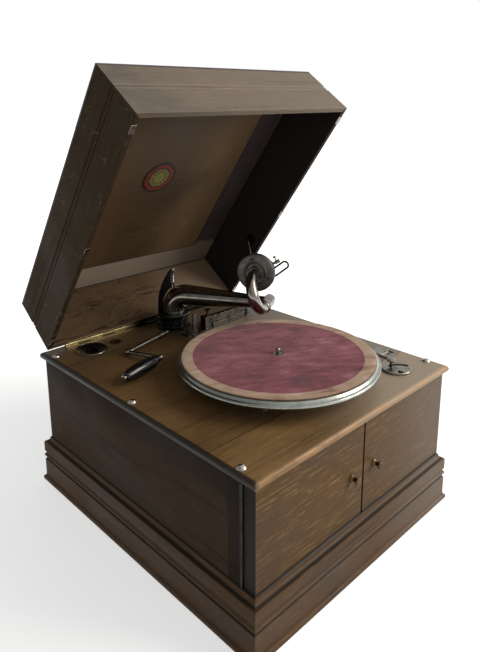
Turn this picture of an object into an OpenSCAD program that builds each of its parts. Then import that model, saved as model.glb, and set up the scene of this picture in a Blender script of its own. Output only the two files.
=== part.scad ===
// Table gramophone with a coin entry: closed oak case, open lid, 12 inch turntable,
// swan-neck tone arm, lift-out winding handle, clockwork motor and folded horn.
// Origin: centre of the case on the floor. X to the right, Y to the back, Z up.

/* [Case] */
// Width of the case across the side panels
case_w = 420; // [410:1:440]
// Depth of the case from the face of the doors to the back
case_d = 486; // [480:1:510]
// Height from the floor to the underside of the deck
case_h = 222; // [220:1:240]
// Thickness of the side and back panels
panel_t = 10; // [8:0.5:10.5]
// Height of the bottom board above the floor
bottom_z = 40; // [34:1:44]
// Thickness of the bottom board
bottom_t = 10; // [8:0.5:14]
// Thickness of the horn mouth frame behind the doors
mouth_t = 14; // [10:0.5:18]

/* [Plinth] */
// Height of the plinth moulding up the case
plinth_h = 81; // [76:1:86]
// Reach of the plinth foot past the case
plinth_foot = 14; // [12:0.5:18]
// Reach of the plinth bands past the case
plinth_band = 10; // [8:0.5:11]
// Height of the plain foot strip
plinth_strip_h = 12; // [8:0.5:16]
// Height of the bead in the middle of the plinth
plinth_bead_z = 46; // [43:0.5:48]

/* [Deck] */
// Thickness of the deck
deck_t = 12; // [10:0.5:14]
// Overhang of the rounded deck edge past the case
deck_over = 6.5; // [4:0.5:9]
// Width of the cross-grained rail at the front of the deck
front_rail_w = 83.5; // [80:0.5:90]
// Width of the cross-grained rail at the back of the deck
back_rail_w = 81.5; // [78:0.5:90]
// Diameter of the dome-headed buffer studs
stud_d = 13; // [10:0.5:13.5]
// Height of a buffer stud above the deck
stud_h = 4.3; // [3:0.1:4.4]
// Distance from the case side to the middle of a stud
stud_inset = 5; // [4.5:0.1:6]
// Distance of the end studs from the front and back of the case
stud_end = 27; // [25:1:34]

/* [Lid] */
// Angle at which the lid stands open
lid_open = 54.1; // [45:0.1:60]
// Distance of the front of the lid behind the face of the doors
lid_front_inset = 2.2; // [1:0.1:4]
// Distance from the hinge line to the back of the case
hinge_inset = 7.2; // [6:0.1:9]
// Height of the hinge line above the deck
hinge_rise = 5.4; // [5.2:0.1:6]
// Height of the lid walls
lid_wall_h = 100; // [97:1:110]
// Thickness of the lid walls
lid_wall_t = 8; // [7:0.5:9]
// Gap between the lid side and the case side, inwards
lid_inset = 1; // [0:0.25:2]
// Width of the canted border inside the walls
lid_border_w = 44; // [38:1:52]
// Rise of the canted border from the wall to the panel
lid_border_rise = 10; // [7:0.5:14]
// Thickness of the lid border and panel
lid_top_t = 8; // [6:0.5:10]
// Height of the grooves round the lid above its rim
lid_groove_z = 55; // [48:1:62]
// Diameter of the round badge inside the lid
badge_d = 64; // [50:1:70]
// Distance of the badge to the left of the middle
badge_left = 16.4; // [0:0.2:60]
// Distance of the badge from the hinge line
badge_from_hinge = 257; // [200:1:300]

/* [Doors] */
// Thickness of the doors
door_t = 20; // [17:0.5:22]
// Gap between the two doors
door_split = 3.5; // [2:0.25:5]
// Gap above and below the doors
door_gap = 1; // [0.6:0.1:2]
// Joint left for the hinge leaves behind the doors
leaf_joint = 2; // [1.8:0.1:3]
// Height of the door knobs above the floor
knob_z = 148; // [130:1:170]
// Distance of each door knob from the middle
knob_x = 26; // [18:1:40]
// Diameter of a door knob
knob_d = 10.6; // [9:0.2:16]

/* [Turntable] */
// Radius of the turntable rim
rim_r = 151.7; // [149:0.1:153]
// Height of the top of the mat above the deck
mat_rise = 35.6; // [34:0.1:40]
// Thickness of the felt mat
mat_t = 2.6; // [1.5:0.1:4]
// Radius of the felt mat
mat_r = 144.9; // [140:0.1:146]
// Distance of the spindle ahead of the middle of the case
spindle_front = 85; // [82:1:88]
// Radius of the record pin
pin_r = 3.5; // [3:0.1:3.6]
// Height of the record pin above the mat
pin_h = 8.6; // [7:0.1:14]
// Radius of the motor spindle
spindle_r = 4.5; // [4:0.1:5]

/* [Tone arm] */
// Distance of the arm pivot to the right of the middle
arm_x = 16.5; // [12:0.5:22]
// Distance of the arm pivot from the back of the case
arm_back = 55.5; // [54:0.5:60]
// Height of the arm axis above the deck
arm_rise = 62.5; // [60:0.5:64]
// Distance from the pivot to the crossways end joint
arm_len = 176.5; // [168:0.5:180]
// Direction of the parked arm, clockwise from the right
arm_park = 61.2; // [58:0.1:66]
// Radius of the arm at its elbow
arm_r = 19; // [17:0.25:19.5]
// Radius of the arm at its far end
arm_tip_r = 10; // [9:0.25:10.5]
// Wall thickness of the arm tube
arm_wall = 1.5; // [1:0.1:2]
// Radius of the swan neck bend
neck_bend = 29.15; // [27:0.05:31]
// Radius of the swan neck tube
neck_r = 9.5; // [8.5:0.25:9.75]
// Angle of the raised swan neck from the arm direction
neck_lift = 107.6; // [100:0.1:112]
// Radius of the sound box
box_r = 33; // [29:0.5:35]
// Thickness of the sound box
box_t = 14; // [10:0.5:14]

/* [Deck fittings] */
// Distance of the needle cup from the left side of the case
cup_side = 61; // [50:1:70]
// Distance of the needle cup from the back of the case
cup_rear = 43.5; // [43:0.5:47]
// Outer radius of the needle cup ring
cup_r = 27; // [24:0.5:27]
// Distance of the small dish from the left side of the case
dish_side = 108; // [100:1:114]
// Outer radius of the small dish
dish_r = 11; // [7:0.5:12]
// Distance of the speed plate to the right of the middle
speed_x = 144.5; // [140:0.5:155]
// Distance of the speed plate ahead of the middle
speed_front = 199.5; // [194:0.5:204]
// Radius of the speed plate
speed_r = 22.5; // [22:0.5:28]
// Distance from the speed lever pivot to its knob
speed_swing = 23.5; // [21:0.5:24.5]
// Diameter of the coins that the slot takes
coin_d = 18; // [15:0.5:20]
// Distance of the coin slot from the right side of the case
coin_inset = 27; // [26:1:30]
// Distance of the coin slot ahead of the middle
coin_front = 160; // [156:1:162]
// Distance of the lid stay from the right side of the case
stay_inset = 14; // [14:0.5:17]
// Distance from the hinge line to the stay pivot on the lid
stay_from_hinge = 142; // [136:1:150]
// Height of the stay pivot above the lid rim
stay_up = 27; // [22:1:32]
// Length of the stay rod
stay_len = 172; // [165:1:190]
// Radius of the stay rod
stay_r = 2; // [1.5:0.1:2.2]

/* [Winding handle] */
// Radius of the handle rod
crank_r = 4; // [3:0.1:4.5]
// Length of the handle shaft
crank_shaft = 104; // [96:1:110]
// Throw of the handle arm
crank_throw = 67; // [58:1:72]
// Length of the grip
grip_len = 78; // [66:1:90]
// Largest radius of the grip
grip_r = 11; // [8:0.25:12]

/* [Motor] */
// Height of the motor below the deck
motor_drop = 70; // [68:1:74]
// Teeth on the spring barrel
barrel_teeth = 60; // [60:1:60]
// Teeth on the transfer wheel
wheel_teeth = 48; // [48:1:48]
// Teeth on the pinions
pinion_teeth = 12; // [12:1:12]
// Size of the barrel teeth, pitch diameter per tooth
barrel_module = 1.4; // [1.3:0.02:1.44]
// Size of the wheel teeth, pitch diameter per tooth
wheel_module = 1.2; // [1.1:0.02:1.26]
// Thickness of the motor plates
plate_t = 4; // [3:0.5:5]

/* [Hidden] */
$fn = 64;
FIT = 0.05;
GAP = 0.3;
half_w = case_w / 2;
half_d = case_d / 2;
door_y = -half_d;
door_back = door_y + door_t;
frame_y = door_back + leaf_joint;
arm_y = half_d - arm_back;
cup_left = half_w - cup_side;
cup_back = half_d - cup_rear;
dish_left = half_w - dish_side;
inner_x = half_w - panel_t;
inner_y = half_d - panel_t;
deck_z = case_h + deck_t;
coin_x = half_w - coin_inset;
stay_x = half_w - stay_inset;
bottom_top = bottom_z + bottom_t;
door_z0 = plinth_h + door_gap;
door_z1 = case_h - door_gap;
front_seam = -half_d - deck_over + front_rail_w;
back_seam = half_d + deck_over - back_rail_w;
lid_half = half_w - lid_inset;
lid_in = lid_half - lid_wall_t;
hinge_y = half_d - hinge_inset;
hinge_z = deck_z + hinge_rise;
lid_len = hinge_y + half_d - lid_front_inset;
knuckle_r = 3.4;
leaf_t = 1.6;
lid_knuckles = 15;
lid_hinge_len = 354;
spindle_y = -spindle_front;
mat_z = deck_z + mat_rise;
platter_z = mat_z - mat_t;
arm_z = deck_z + arm_rise;
elbow_r = arm_r + 7;
barrel_r = arm_tip_r + 0.75;
barrel_back = 19;
joint_gap = 24;
neck_start = 30;
motor_z = case_h - motor_drop;
barrel_left = 62;
barrel_pitch = barrel_teeth * barrel_module / 2;
barrel_pinion_pitch = pinion_teeth * barrel_module / 2;
wheel_pitch = wheel_teeth * wheel_module / 2;
wheel_pinion_pitch = pinion_teeth * wheel_module / 2;
mesh_a = barrel_pitch + barrel_pinion_pitch;
mesh_b = wheel_pitch + wheel_pinion_pitch;
wheel_x = (mesh_a * mesh_a - mesh_b * mesh_b - barrel_left * barrel_left) / (2 * barrel_left);
wheel_dy = -sqrt(mesh_b * mesh_b - wheel_x * wheel_x);
drive_z = case_h - 22;
gov_z = motor_z + 21;
worm_gear_r = 15;
worm_r = 4;
gov_x = worm_gear_r + worm_r + GAP;
wind_r = 5;
wind_wheel_r = 20;
wind_z = case_h - 17;
wind_dy = wind_wheel_r + wind_r + 1.2 + GAP;
wind_end = half_w - 4;
oak = [0.45, 0.34, 0.22];
dark_oak = [0.2, 0.15, 0.11];
deck_brown = [0.36, 0.28, 0.19];
nickel = [0.75, 0.74, 0.7];
black = [0.08, 0.08, 0.09];
brass = [0.72, 0.58, 0.3];
bronze = [0.3, 0.24, 0.18];
steel = [0.55, 0.56, 0.58];
felt_red = [0.5, 0.24, 0.28];

// A box from one corner to the other
module block(x0, x1, y0, y1, z0, z1) {
    translate([x0, y0, z0])
        cube([x1 - x0, y1 - y0, z1 - z0]);
}

// A rod along X, Y or Z between two distances on that axis
module rod_x(r, x0, x1) {
    translate([x0, 0, 0])
        rotate([0, 90, 0])
            cylinder(r = r, h = x1 - x0);
}
module rod_y(r, y0, y1) {
    translate([0, y1, 0])
        rotate([90, 0, 0])
            cylinder(r = r, h = y1 - y0);
}
module rod_z(r, z0, z1) {
    translate([0, 0, z0])
        cylinder(r = r, h = z1 - z0);
}

// One mitred side of a frame: the profile's x runs inwards, its y upwards
module mitred(half_len, off, depth) {
    intersection() {
        translate([-half_len, -off, 0])
            rotate([90, 0, 90])
                linear_extrude(2 * half_len)
                    children();
        translate([0, 0, -1])
            linear_extrude(400)
                polygon([
                    [-half_len, -off], [half_len, -off],
                    [half_len - depth, depth - off], [depth - half_len, depth - off]
                ]);
    }
}

// Points of an arc about [cx, cy]
function arc(cx, cy, r, a0, a1, n) =
    [for (i = [0:n]) [cx + r * cos(a0 + (a1 - a0) * i / n), cy + r * sin(a0 + (a1 - a0) * i / n)]];

// A spur gear with straight-flanked teeth, the first one centred on the angle start
module gear(teeth, size, h, start, bore) {
    pitch = teeth * size / 2;
    step = 360 / teeth;
    difference() {
        linear_extrude(h)
            polygon([for (i = [0:teeth - 1], k = [[-0.32, -1.15], [-0.13, 0.8], [0.13, 0.8], [0.32, -1.15]])
                let (a = start + step * (i + k[0]), r = pitch + size * k[1]) [r * cos(a), r * sin(a)]]);
        rod_z(bore, -1, h + 1);
    }
}

// Case
module plinth_profile() {
    top = plinth_h - 9.5;
    polygon(concat(
        [[0, 0], [0, 3]],
        arc(plinth_foot - plinth_band, 3, plinth_foot - plinth_band, 180, 100, 6),
        [
            [plinth_foot - plinth_band, plinth_strip_h],
            [plinth_foot - plinth_band, plinth_bead_z - 8],
            [plinth_foot - plinth_band + 1.8, plinth_bead_z - 6.5],
            [plinth_foot - plinth_band + 1.8, plinth_bead_z - 3]
        ],
        arc(plinth_foot - plinth_band + 1.8, plinth_bead_z, 2.6, 270, 90, 8),
        [
            [plinth_foot - plinth_band + 1.8, plinth_bead_z + 5],
            [plinth_foot - plinth_band, plinth_bead_z + 8],
            [plinth_foot - plinth_band, top - 2],
            [plinth_foot - plinth_band + 0.8, top]
        ],
        arc(plinth_foot - plinth_band + 1, top + 7, 7, 270, 340, 6),
        [[plinth_foot - 2.2, plinth_h - 2]],
        [[plinth_foot, plinth_h], [plinth_foot, bottom_z]],
        [[plinth_foot + panel_t, bottom_z], [plinth_foot + panel_t, 0]]
    ));
}
module plinth_moulding() {
    w = half_w + plinth_foot;
    d = half_d + plinth_foot;
    depth = plinth_foot + panel_t + 1;
    color(oak) {
        mitred(w, d, depth) plinth_profile();
        rotate([0, 0, 180]) mitred(w, d, depth) plinth_profile();
        rotate([0, 0, 90]) mitred(d, w, depth) plinth_profile();
        rotate([0, 0, -90]) mitred(d, w, depth) plinth_profile();
    }
}
module bottom_board() {
    color(dark_oak)
        block(-inner_x, inner_x, frame_y, inner_y, bottom_z, bottom_top);
}
module side_panel() {
    difference() {
        block(-half_w, -inner_x, frame_y, half_d, bottom_z, case_h);
        translate([-door_axis_x, door_axis_y, 0])
            rod_z(door_barrel_r + GAP, door_z0 - 0.5, door_z1 + 0.5);
    }
}
module left_panel() {
    color(dark_oak)
        side_panel();
}
module right_panel() {
    color(dark_oak)
        difference() {
            mirror([1, 0, 0]) side_panel();
            translate([0, spindle_y + wind_dy, wind_z])
                rod_x(bush_r + FIT, inner_x - 1, half_w + 1);
        }
}
module rear_panel() {
    color(dark_oak)
        block(-inner_x, inner_x, inner_y, half_d, bottom_z, case_h);
}
module mouth_frame() {
    color(oak)
        difference() {
            block(-inner_x, inner_x, frame_y, frame_y + mouth_t, bottom_top, case_h);
            block(-mouth_half, mouth_half, frame_y - 1, frame_y + mouth_t + 1, mouth_z0, mouth_z1);
        }
}
module front_sill() {
    color(oak)
        block(-half_w, half_w, door_y, frame_y, bottom_z, plinth_h);
}

// Deck
module deck_edge(half) {
    translate([-half + deck_t / 2, 0]) square([2 * half - deck_t, deck_t]);
    for (s = [-1, 1])
        translate([s * (half - deck_t / 2), deck_t / 2]) circle(d = deck_t);
}
module deck_blank(y0, y1) {
    intersection() {
        translate([0, half_d + deck_over, case_h])
            rotate([90, 0, 0])
                linear_extrude(2 * (half_d + deck_over))
                    deck_edge(half_w + deck_over);
        translate([-half_w - deck_over, 0, case_h])
            rotate([90, 0, 90])
                linear_extrude(2 * (half_w + deck_over))
                    deck_edge(half_d + deck_over);
        block(-case_w, case_w, y0, y1, case_h - 1, deck_z + 1);
    }
}
module stud_places() {
    for (x = [-half_w + stud_inset, half_w - stud_inset], y = [stud_end - half_d, 0, half_d - stud_end])
        translate([x, y, 0]) children();
}
module deck_cuts() {
    stud_places() rod_z(stud_shank_r + FIT, case_h - 1, deck_z + 1);
    translate([0, spindle_y, 0]) rod_z(spindle_r + 6, case_h - 1, deck_z + 1);
    bolt_places() rod_z(bolt_r + FIT, case_h - 1, deck_z + 1);
    translate([arm_x, arm_y, 0]) rod_z(throat_r, case_h - 1, deck_z + 1);
    translate([-cup_left, cup_back, 0]) {
        rod_z(12.5 + FIT, deck_z - 10, deck_z + 1);
        rod_z(cup_r - 2.5 + FIT, deck_z - 4.6, deck_z + 1);
    }
    translate([-dish_left, cup_back, 0]) rod_z(dish_r + FIT, deck_z - 6, deck_z + 1);
    speed_pivot() {
        rod_z(7.5, case_h - 1, deck_z + 1);
        rotate([0, 0, speed_from - 4])
            rotate_extrude(angle = speed_to - speed_from + 10)
                translate([0, case_h - 1]) square([speed_swing + 3.2, deck_t + 2]);
    }
    translate([coin_x, -coin_front, 0])
        block(-coin_d / 2 - 0.8, coin_d / 2 + 0.8, -2, 2, case_h - 1, deck_z + 1);
    stay_slot(case_h - 1, deck_z + 1);
}
module deck_board() {
    color(deck_brown)
        difference() {
            deck_blank(front_seam, back_seam);
            deck_cuts();
        }
}
module deck_rails() {
    color(deck_brown)
        difference() {
            union() {
                deck_blank(-case_d, front_seam);
                deck_blank(back_seam, case_d);
            }
            deck_cuts();
        }
}
stud_shank_r = 2;
module deck_studs() {
    dome_r = (stud_h * stud_h + stud_d * stud_d / 4) / (2 * stud_h);
    color(nickel)
        stud_places() {
            intersection() {
                translate([0, 0, deck_z + stud_h - dome_r]) sphere(r = dome_r);
                rod_z(stud_d / 2, deck_z, deck_z + stud_h + 1);
            }
            rod_z(stud_shank_r, case_h + 2, deck_z + 1);
        }
}

// Horn
mouth_half = 168;
mouth_z0 = bottom_top + 42;
mouth_z1 = case_h - 12;
throat_r = 17;
throat_wall = 4;
throat_bend = 40;
throat_end_z = case_h - 66 - throat_bend;
horn_wall = 5;
horn_low_half = 100;
horn_low_z1 = motor_z - 12;
module horn_section(y, x, half, z0, z1) {
    translate([x - half, y, z0]) cube([2 * half, 0.5, z1 - z0]);
}
module horn_shape(wall) {
    throat_y = arm_y - throat_bend;
    out = throat_r + throat_wall;
    y_mid = spindle_y + 60;
    y_low = spindle_y - 72;
    y_mouth = frame_y + mouth_t;
    end = wall > 0 ? 0 : 1;
    low = mouth_z0 - wall;
    hull() {
        horn_section(throat_y - 0.5 + end, arm_x, throat_r + wall, throat_end_z - throat_r - wall,
            throat_end_z + throat_r + wall);
        horn_section(y_mid, 0, horn_low_half + wall, low, horn_low_z1 + wall);
    }
    hull() {
        horn_section(y_mid, 0, horn_low_half + wall, low, horn_low_z1 + wall);
        horn_section(y_low, 0, horn_low_half + wall, low, horn_low_z1 + wall);
    }
    hull() {
        horn_section(y_low, 0, horn_low_half + wall, low, horn_low_z1 + wall);
        horn_section(y_mouth - end, 0, mouth_half + wall, low, mouth_z1 + wall);
    }
}
module horn_flare() {
    color(dark_oak)
        difference() {
            horn_shape(horn_wall);
            horn_shape(0);
        }
}
module pipe_z(r, bore, z0, z1) {
    difference() {
        rod_z(r, z0, z1);
        rod_z(bore, z0 - 1, z1 + 1);
    }
}
module bent_pipe(r, bore, bend, angle) {
    rotate_extrude(angle = angle)
        translate([bend, 0])
            difference() {
                circle(r = r);
                circle(r = bore);
            }
}
module horn_throat() {
    out = throat_r + throat_wall;
    top = throat_end_z + throat_bend;
    color(black)
        translate([arm_x, arm_y, 0]) {
            pipe_z(out, throat_r, top, case_h);
            pipe_z(out + 10, throat_r + 1, case_h - 5, case_h);
            translate([0, -throat_bend, top])
                rotate([0, 90, 0])
                    bent_pipe(out, throat_r, throat_bend, 90);
        }
}

// Tone arm base with its gallows bracket
base_flange_r = 30;
base_top = deck_z + 29;
screw_r = 2.3;
screw_top = deck_z + 109;
module at_arm() {
    translate([arm_x, arm_y, 0])
        rotate([0, 0, -arm_park])
            children();
}
module arm_base() {
    clear_r = elbow_r + arm_r + 3;
    elbow_cz = arm_z - elbow_r;
    back = base_flange_r - 0.5;
    color(black)
        at_arm()
            difference() {
                union() {
                    rotate_extrude()
                        polygon([
                            [throat_r + 0.5, deck_z], [base_flange_r, deck_z], [base_flange_r, deck_z + 3],
                            [24.5, deck_z + 4.5], [24.5, deck_z + 11], [25.8, deck_z + 12.2],
                            [24.5, deck_z + 13.4], [24.5, deck_z + 18], [25.8, deck_z + 19.2],
                            [24.5, deck_z + 20.4], [25, deck_z + 22], [28.5, deck_z + 24.5],
                            [28.5, base_top - 1], [27.5, base_top], [throat_r + 0.5, base_top]
                        ]);
                    translate([0, 4, 0])
                        rotate([90, 0, 0])
                            linear_extrude(8)
                                difference() {
                                    polygon(concat(
                                        [[-22, base_top - 5], [-back, base_top - 2]],
                                        [for (i = [0:8]) let (t = i / 8)
                                            [-back + (back - 3.5) * t * t, base_top + 10 + 70 * t]],
                                        [[0, screw_top], [0, base_top - 5]]
                                    ));
                                    translate([elbow_r, elbow_cz]) circle(r = clear_r);
                                    translate([-3.8, 0]) square([20, screw_top - 8]);
                                    translate([-arm_r - 2, 0]) square([60, elbow_cz]);
                                }
                    rod_z(3.9, screw_top - 8, screw_top - 2);
                }
                rod_z(arm_r + FIT, deck_z + 4 - FIT, arm_z);
                rod_z(screw_r + FIT, arm_z, screw_top + 5);
            }
}
module arm_pivot_screw() {
    color(nickel)
        translate([arm_x, arm_y, 0])
            rotate_extrude()
                polygon(concat(
                    [[0, socket_z + GAP], [screw_r, socket_z + 2.5]],
                    [for (i = [0:7], k = [0, 1]) [screw_r + (i > 5 ? 0 : (k == 0 ? 0 : -0.5)),
                        socket_z + 4 + (2 * i + k) * (screw_top - 10 - socket_z - 4) / 15]],
                    [[screw_r, screw_top], [screw_r + 1, screw_top], [screw_r + 1, screw_top + 2],
                        [0, screw_top + 2]]
                ));
}

// Small deck fittings
module needle_cup() {
    color(nickel)
        translate([-cup_left, cup_back, 0])
            rotate_extrude()
                polygon([
                    [0, deck_z - 10], [12.5, deck_z - 10], [12.5, deck_z - 4.5], [cup_r - 2.5, deck_z - 3],
                    [cup_r - 2.5, deck_z], [cup_r, deck_z], [cup_r, deck_z + 0.8], [cup_r - 1.2, deck_z + 1.6],
                    [cup_r - 2.8, deck_z + 0.8], [11.5, deck_z - 2.5], [11, deck_z - 3], [11, deck_z - 8.8],
                    [0, deck_z - 8.8]
                ]);
}
module needle_dish() {
    color(bronze)
        translate([-dish_left, cup_back, 0])
            difference() {
                rod_z(dish_r, deck_z - 5.5, deck_z + 0.6);
                translate([0, 0, deck_z + dish_r * 0.9]) sphere(r = dish_r * 1.2);
            }
}
speed_from = 14;
speed_to = 80;
speed_rest = 73;
speed_plate_t = 3.5;
module speed_pivot() {
    translate([speed_x - 6, -speed_front - 13, 0]) children();
}
module speed_plate() {
    color(nickel)
        difference() {
            translate([speed_x, -speed_front, 0])
                rotate_extrude()
                    polygon([
                        [0, deck_z], [speed_r, deck_z], [speed_r, deck_z + speed_plate_t - 1],
                        [speed_r - 1, deck_z + speed_plate_t], [0, deck_z + speed_plate_t]
                    ]);
            speed_pivot() {
                rod_z(3 + FIT, deck_z - 1, deck_z + 10);
                translate([0, 0, deck_z - 1])
                    linear_extrude(10)
                        polygon(concat(
                            arc(0, 0, speed_swing + 2.8, speed_from, speed_to, 12),
                            arc(speed_swing * cos(speed_to), speed_swing * sin(speed_to), 2.8,
                                speed_to + 15, speed_to + 165, 8),
                            arc(0, 0, speed_swing - 2.8, speed_to, speed_from, 12),
                            arc(speed_swing * cos(speed_from), speed_swing * sin(speed_from), 2.8,
                                speed_from + 195, speed_from + 345, 8)
                        ));
            }
        }
}
module speed_lever() {
    color(nickel)
        speed_pivot() {
            rod_z(3, deck_z - 6, deck_z + speed_plate_t + 0.5);
            rod_z(5, deck_z + speed_plate_t + GAP, deck_z + speed_plate_t + 2.5);
            rotate([0, 0, speed_rest]) {
                block(0, speed_swing, -1, 1, deck_z - 5.5, deck_z - 3);
                translate([speed_swing, 0, 0]) {
                    rod_z(2.4, deck_z - 6, deck_z + 10);
                    rotate_extrude()
                        polygon([
                            [0, deck_z + 8], [2.4, deck_z + 8], [4, deck_z + 10.5], [7.5, deck_z + 11.5],
                            [7.5, deck_z + 13], [4.5, deck_z + 14.6], [0, deck_z + 15]
                        ]);
                }
            }
        }
}
coin_plate_w = 28;
coin_plate_len = 18.5;
coin_plate_t = 2.5;
module coin_plate() {
    color(nickel)
        translate([coin_x, -coin_front, 0])
            difference() {
                union() {
                    block(-coin_plate_w / 2, coin_plate_w / 2, -10.5, -10.5 + coin_plate_len, deck_z,
                        deck_z + coin_plate_t);
                    block(-coin_plate_w / 2 + 2, coin_plate_w / 2 + 2, -10.5 + coin_plate_len,
                        -9 + coin_plate_len, deck_z, deck_z + 1);
                    block(-coin_plate_w / 2 + 2, coin_plate_w / 2 + 2, -9 + coin_plate_len,
                        -9 + 2 * coin_plate_len, deck_z, deck_z + coin_plate_t);
                }
                block(-coin_d / 2 - 1.5, coin_d / 2 + 1.5, -5, 5, deck_z + coin_plate_t - 1, deck_z + 9);
                block(-coin_d / 2 - 0.5, coin_d / 2 + 0.5, -1.5, 1.5, deck_z - 1, deck_z + 9);
            }
}
chute_half = coin_d / 2 + 2.3;
chute_run = 96;
chute_tilt = 38;
chute_low = case_h - 34;
module at_chute() {
    translate([coin_x, -coin_front - 3, chute_low])
        rotate([-chute_tilt, 0, 0])
            children();
}
module coin_chute() {
    inner = coin_d / 2 + 0.8;
    wide = inner + 0.4;
    side = chute_half + 1.2;
    color(steel)
        union() {
            difference() {
                translate([coin_x, -coin_front, 0])
                    block(-chute_half, chute_half, -3.5, 3.5, chute_low, case_h);
                translate([coin_x, -coin_front, 0])
                    block(-inner, inner, -2, 2, chute_low - 6, case_h + 1);
                at_chute() block(-wide, wide, -6.5, chute_run + 1, -6, 7);
            }
            at_chute()
                difference() {
                    translate([-side, 0, 0])
                        rotate([90, 0, 90])
                            linear_extrude(2 * side)
                                polygon([
                                    [-8, -8], [chute_run, -8], [chute_run, 2], [66, 6], [63, 19],
                                    [55, 19], [52, 6], [-8, 6]
                                ]);
                    block(-wide, wide, -6.5, chute_run + 1, -6, 30);
                    translate([0, 59, 15]) rod_x(1.5 + FIT, -side - 1, side + 1);
                }
        }
}
module coin_lever() {
    inner = coin_d / 2 + 0.8;
    color(brass)
        at_chute()
            translate([0, 59, 15]) {
                rod_x(1.5, -chute_half - 1, chute_half + 1);
                rod_x(4, -inner + GAP + 1, inner - GAP - 1);
                block(-inner + 2, inner - 2, -1, 1, -19.5, 0);
                block(-3, 3, 0, 40, -1, 1);
            }
}
module coin_box() {
    end_y = -coin_front - 3 + chute_run * cos(chute_tilt);
    color(steel)
        translate([coin_x - 12, end_y - 10, bottom_top])
            difference() {
                block(-26, 26, 0, 62, 0, 44);
                block(-24.5, 24.5, 1.5, 60.5, 1.5, 50);
            }
}

// Motor under the deck
bolt_r = 3;
motor_x0 = -110;
motor_x1 = 50;
motor_y0 = -66;
motor_y1 = 52;
module pillar_places() {
    for (x = [motor_x0 + 8, motor_x1 - 8], y = [motor_y0 + 8, motor_y1 - 8])
        translate([x, spindle_y + y, 0]) children();
}
module bolt_places() {
    for (x = [motor_x0 + 20, motor_x1 - 20], y = [motor_y0 + 8, motor_y1 - 8])
        translate([x, spindle_y + y, 0]) children();
}
module motor_board(z) {
    block(motor_x0, motor_x1, spindle_y + motor_y0, spindle_y + motor_y1, z, z + plate_t);
}
module motor_plate() {
    color(steel)
        difference() {
            union() {
                motor_board(case_h - plate_t);
                translate([barrel_left * 0 - 20, spindle_y + wind_dy, 0])
                    block(-4, 4, -9, 9, wind_z - 8, case_h - plate_t + 1);
                for (y = [-44, 44])
                    translate([gov_x, spindle_y + y, 0])
                        block(-4, 4, -3, 3, gov_z - 5, case_h - plate_t + 1);
            }
            translate([0, spindle_y, 0]) rod_z(spindle_r + FIT, 0, case_h + 1);
            bolt_places() rod_z(bolt_r + FIT, 0, case_h + 1);
            translate([-barrel_left, spindle_y, 0]) rod_z(4 + FIT, 0, case_h + 1);
            translate([wheel_x, spindle_y + wheel_dy, 0]) rod_z(3 + FIT, 0, case_h + 1);
            translate([0, spindle_y + wind_dy, wind_z]) rod_x(wind_r + FIT, -40, 0);
            translate([gov_x, spindle_y, gov_z]) rod_y(2 + FIT, -60, 60);
        }
}
module motor_frame() {
    color(steel)
        difference() {
            union() {
                motor_board(motor_z);
                pillar_places() rod_z(5, motor_z, case_h - plate_t);
            }
            translate([0, spindle_y, 0]) rod_z(spindle_r + FIT, motor_z + 1.5, case_h);
            translate([-barrel_left, spindle_y, 0]) rod_z(4 + FIT, motor_z + 1.5, case_h);
            translate([wheel_x, spindle_y + wheel_dy, 0]) rod_z(3 + FIT, motor_z + 1.5, case_h);
        }
}
module motor_bolts() {
    color(steel)
        bolt_places() {
            rod_z(bolt_r, case_h - plate_t - 5, deck_z + 1);
            rod_z(6, deck_z, deck_z + 3);
            rod_z(5.5, case_h - plate_t - 4, case_h - plate_t);
        }
}
module spindle() {
    color(steel)
        translate([0, spindle_y, 0]) {
            rod_z(spindle_r, motor_z + 1.5 + FIT, platter_z);
            rod_z(pin_r, platter_z - 1, mat_z + pin_h - 1.5);
            translate([0, 0, mat_z + pin_h - 1.5]) cylinder(r1 = pin_r, r2 = pin_r - 1.2, h = 1.5);
            translate([0, 0, drive_z - 1])
                gear(pinion_teeth, wheel_module, 6, mesh_angle_b + 180 + 180 / pinion_teeth, spindle_r - 1);
            rod_z(worm_gear_r, gov_z - 3, gov_z + 3);
            rod_z(spindle_r + 4, platter_z - 17, platter_z - 14 - GAP);
            rod_z(washer_r, platter_z, mat_z - 0.1);
        }
}
washer_r = 7.5;
mesh_angle_a = atan2(wheel_dy, wheel_x + barrel_left);
mesh_angle_b = atan2(-wheel_dy, -wheel_x);
module spring_barrel() {
    color(brass)
        translate([-barrel_left, spindle_y, 0]) {
            rod_z(4, motor_z + 1.5 + FIT, case_h - 1);
            rod_z(38, motor_z + plate_t + 12, drive_z - 9);
            translate([0, 0, motor_z + plate_t + 5])
                gear(barrel_teeth, barrel_module, 6, mesh_angle_a, 3);
            rod_z(12, motor_z + plate_t + 2, motor_z + plate_t + 14);
            rod_z(wind_wheel_r, wind_z - 3, wind_z + 3);
            rod_z(8, drive_z - 10, wind_z);
        }
}
module transfer_wheel() {
    color(brass)
        translate([wheel_x, spindle_y + wheel_dy, 0]) {
            rod_z(3, motor_z + 1.5 + FIT, case_h - 1);
            translate([0, 0, motor_z + plate_t + 4])
                gear(pinion_teeth, barrel_module, 8, mesh_angle_a + 180 + 180 / pinion_teeth, 2);
            translate([0, 0, drive_z]) gear(wheel_teeth, wheel_module, 4, mesh_angle_b, 2);
        }
}
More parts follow.
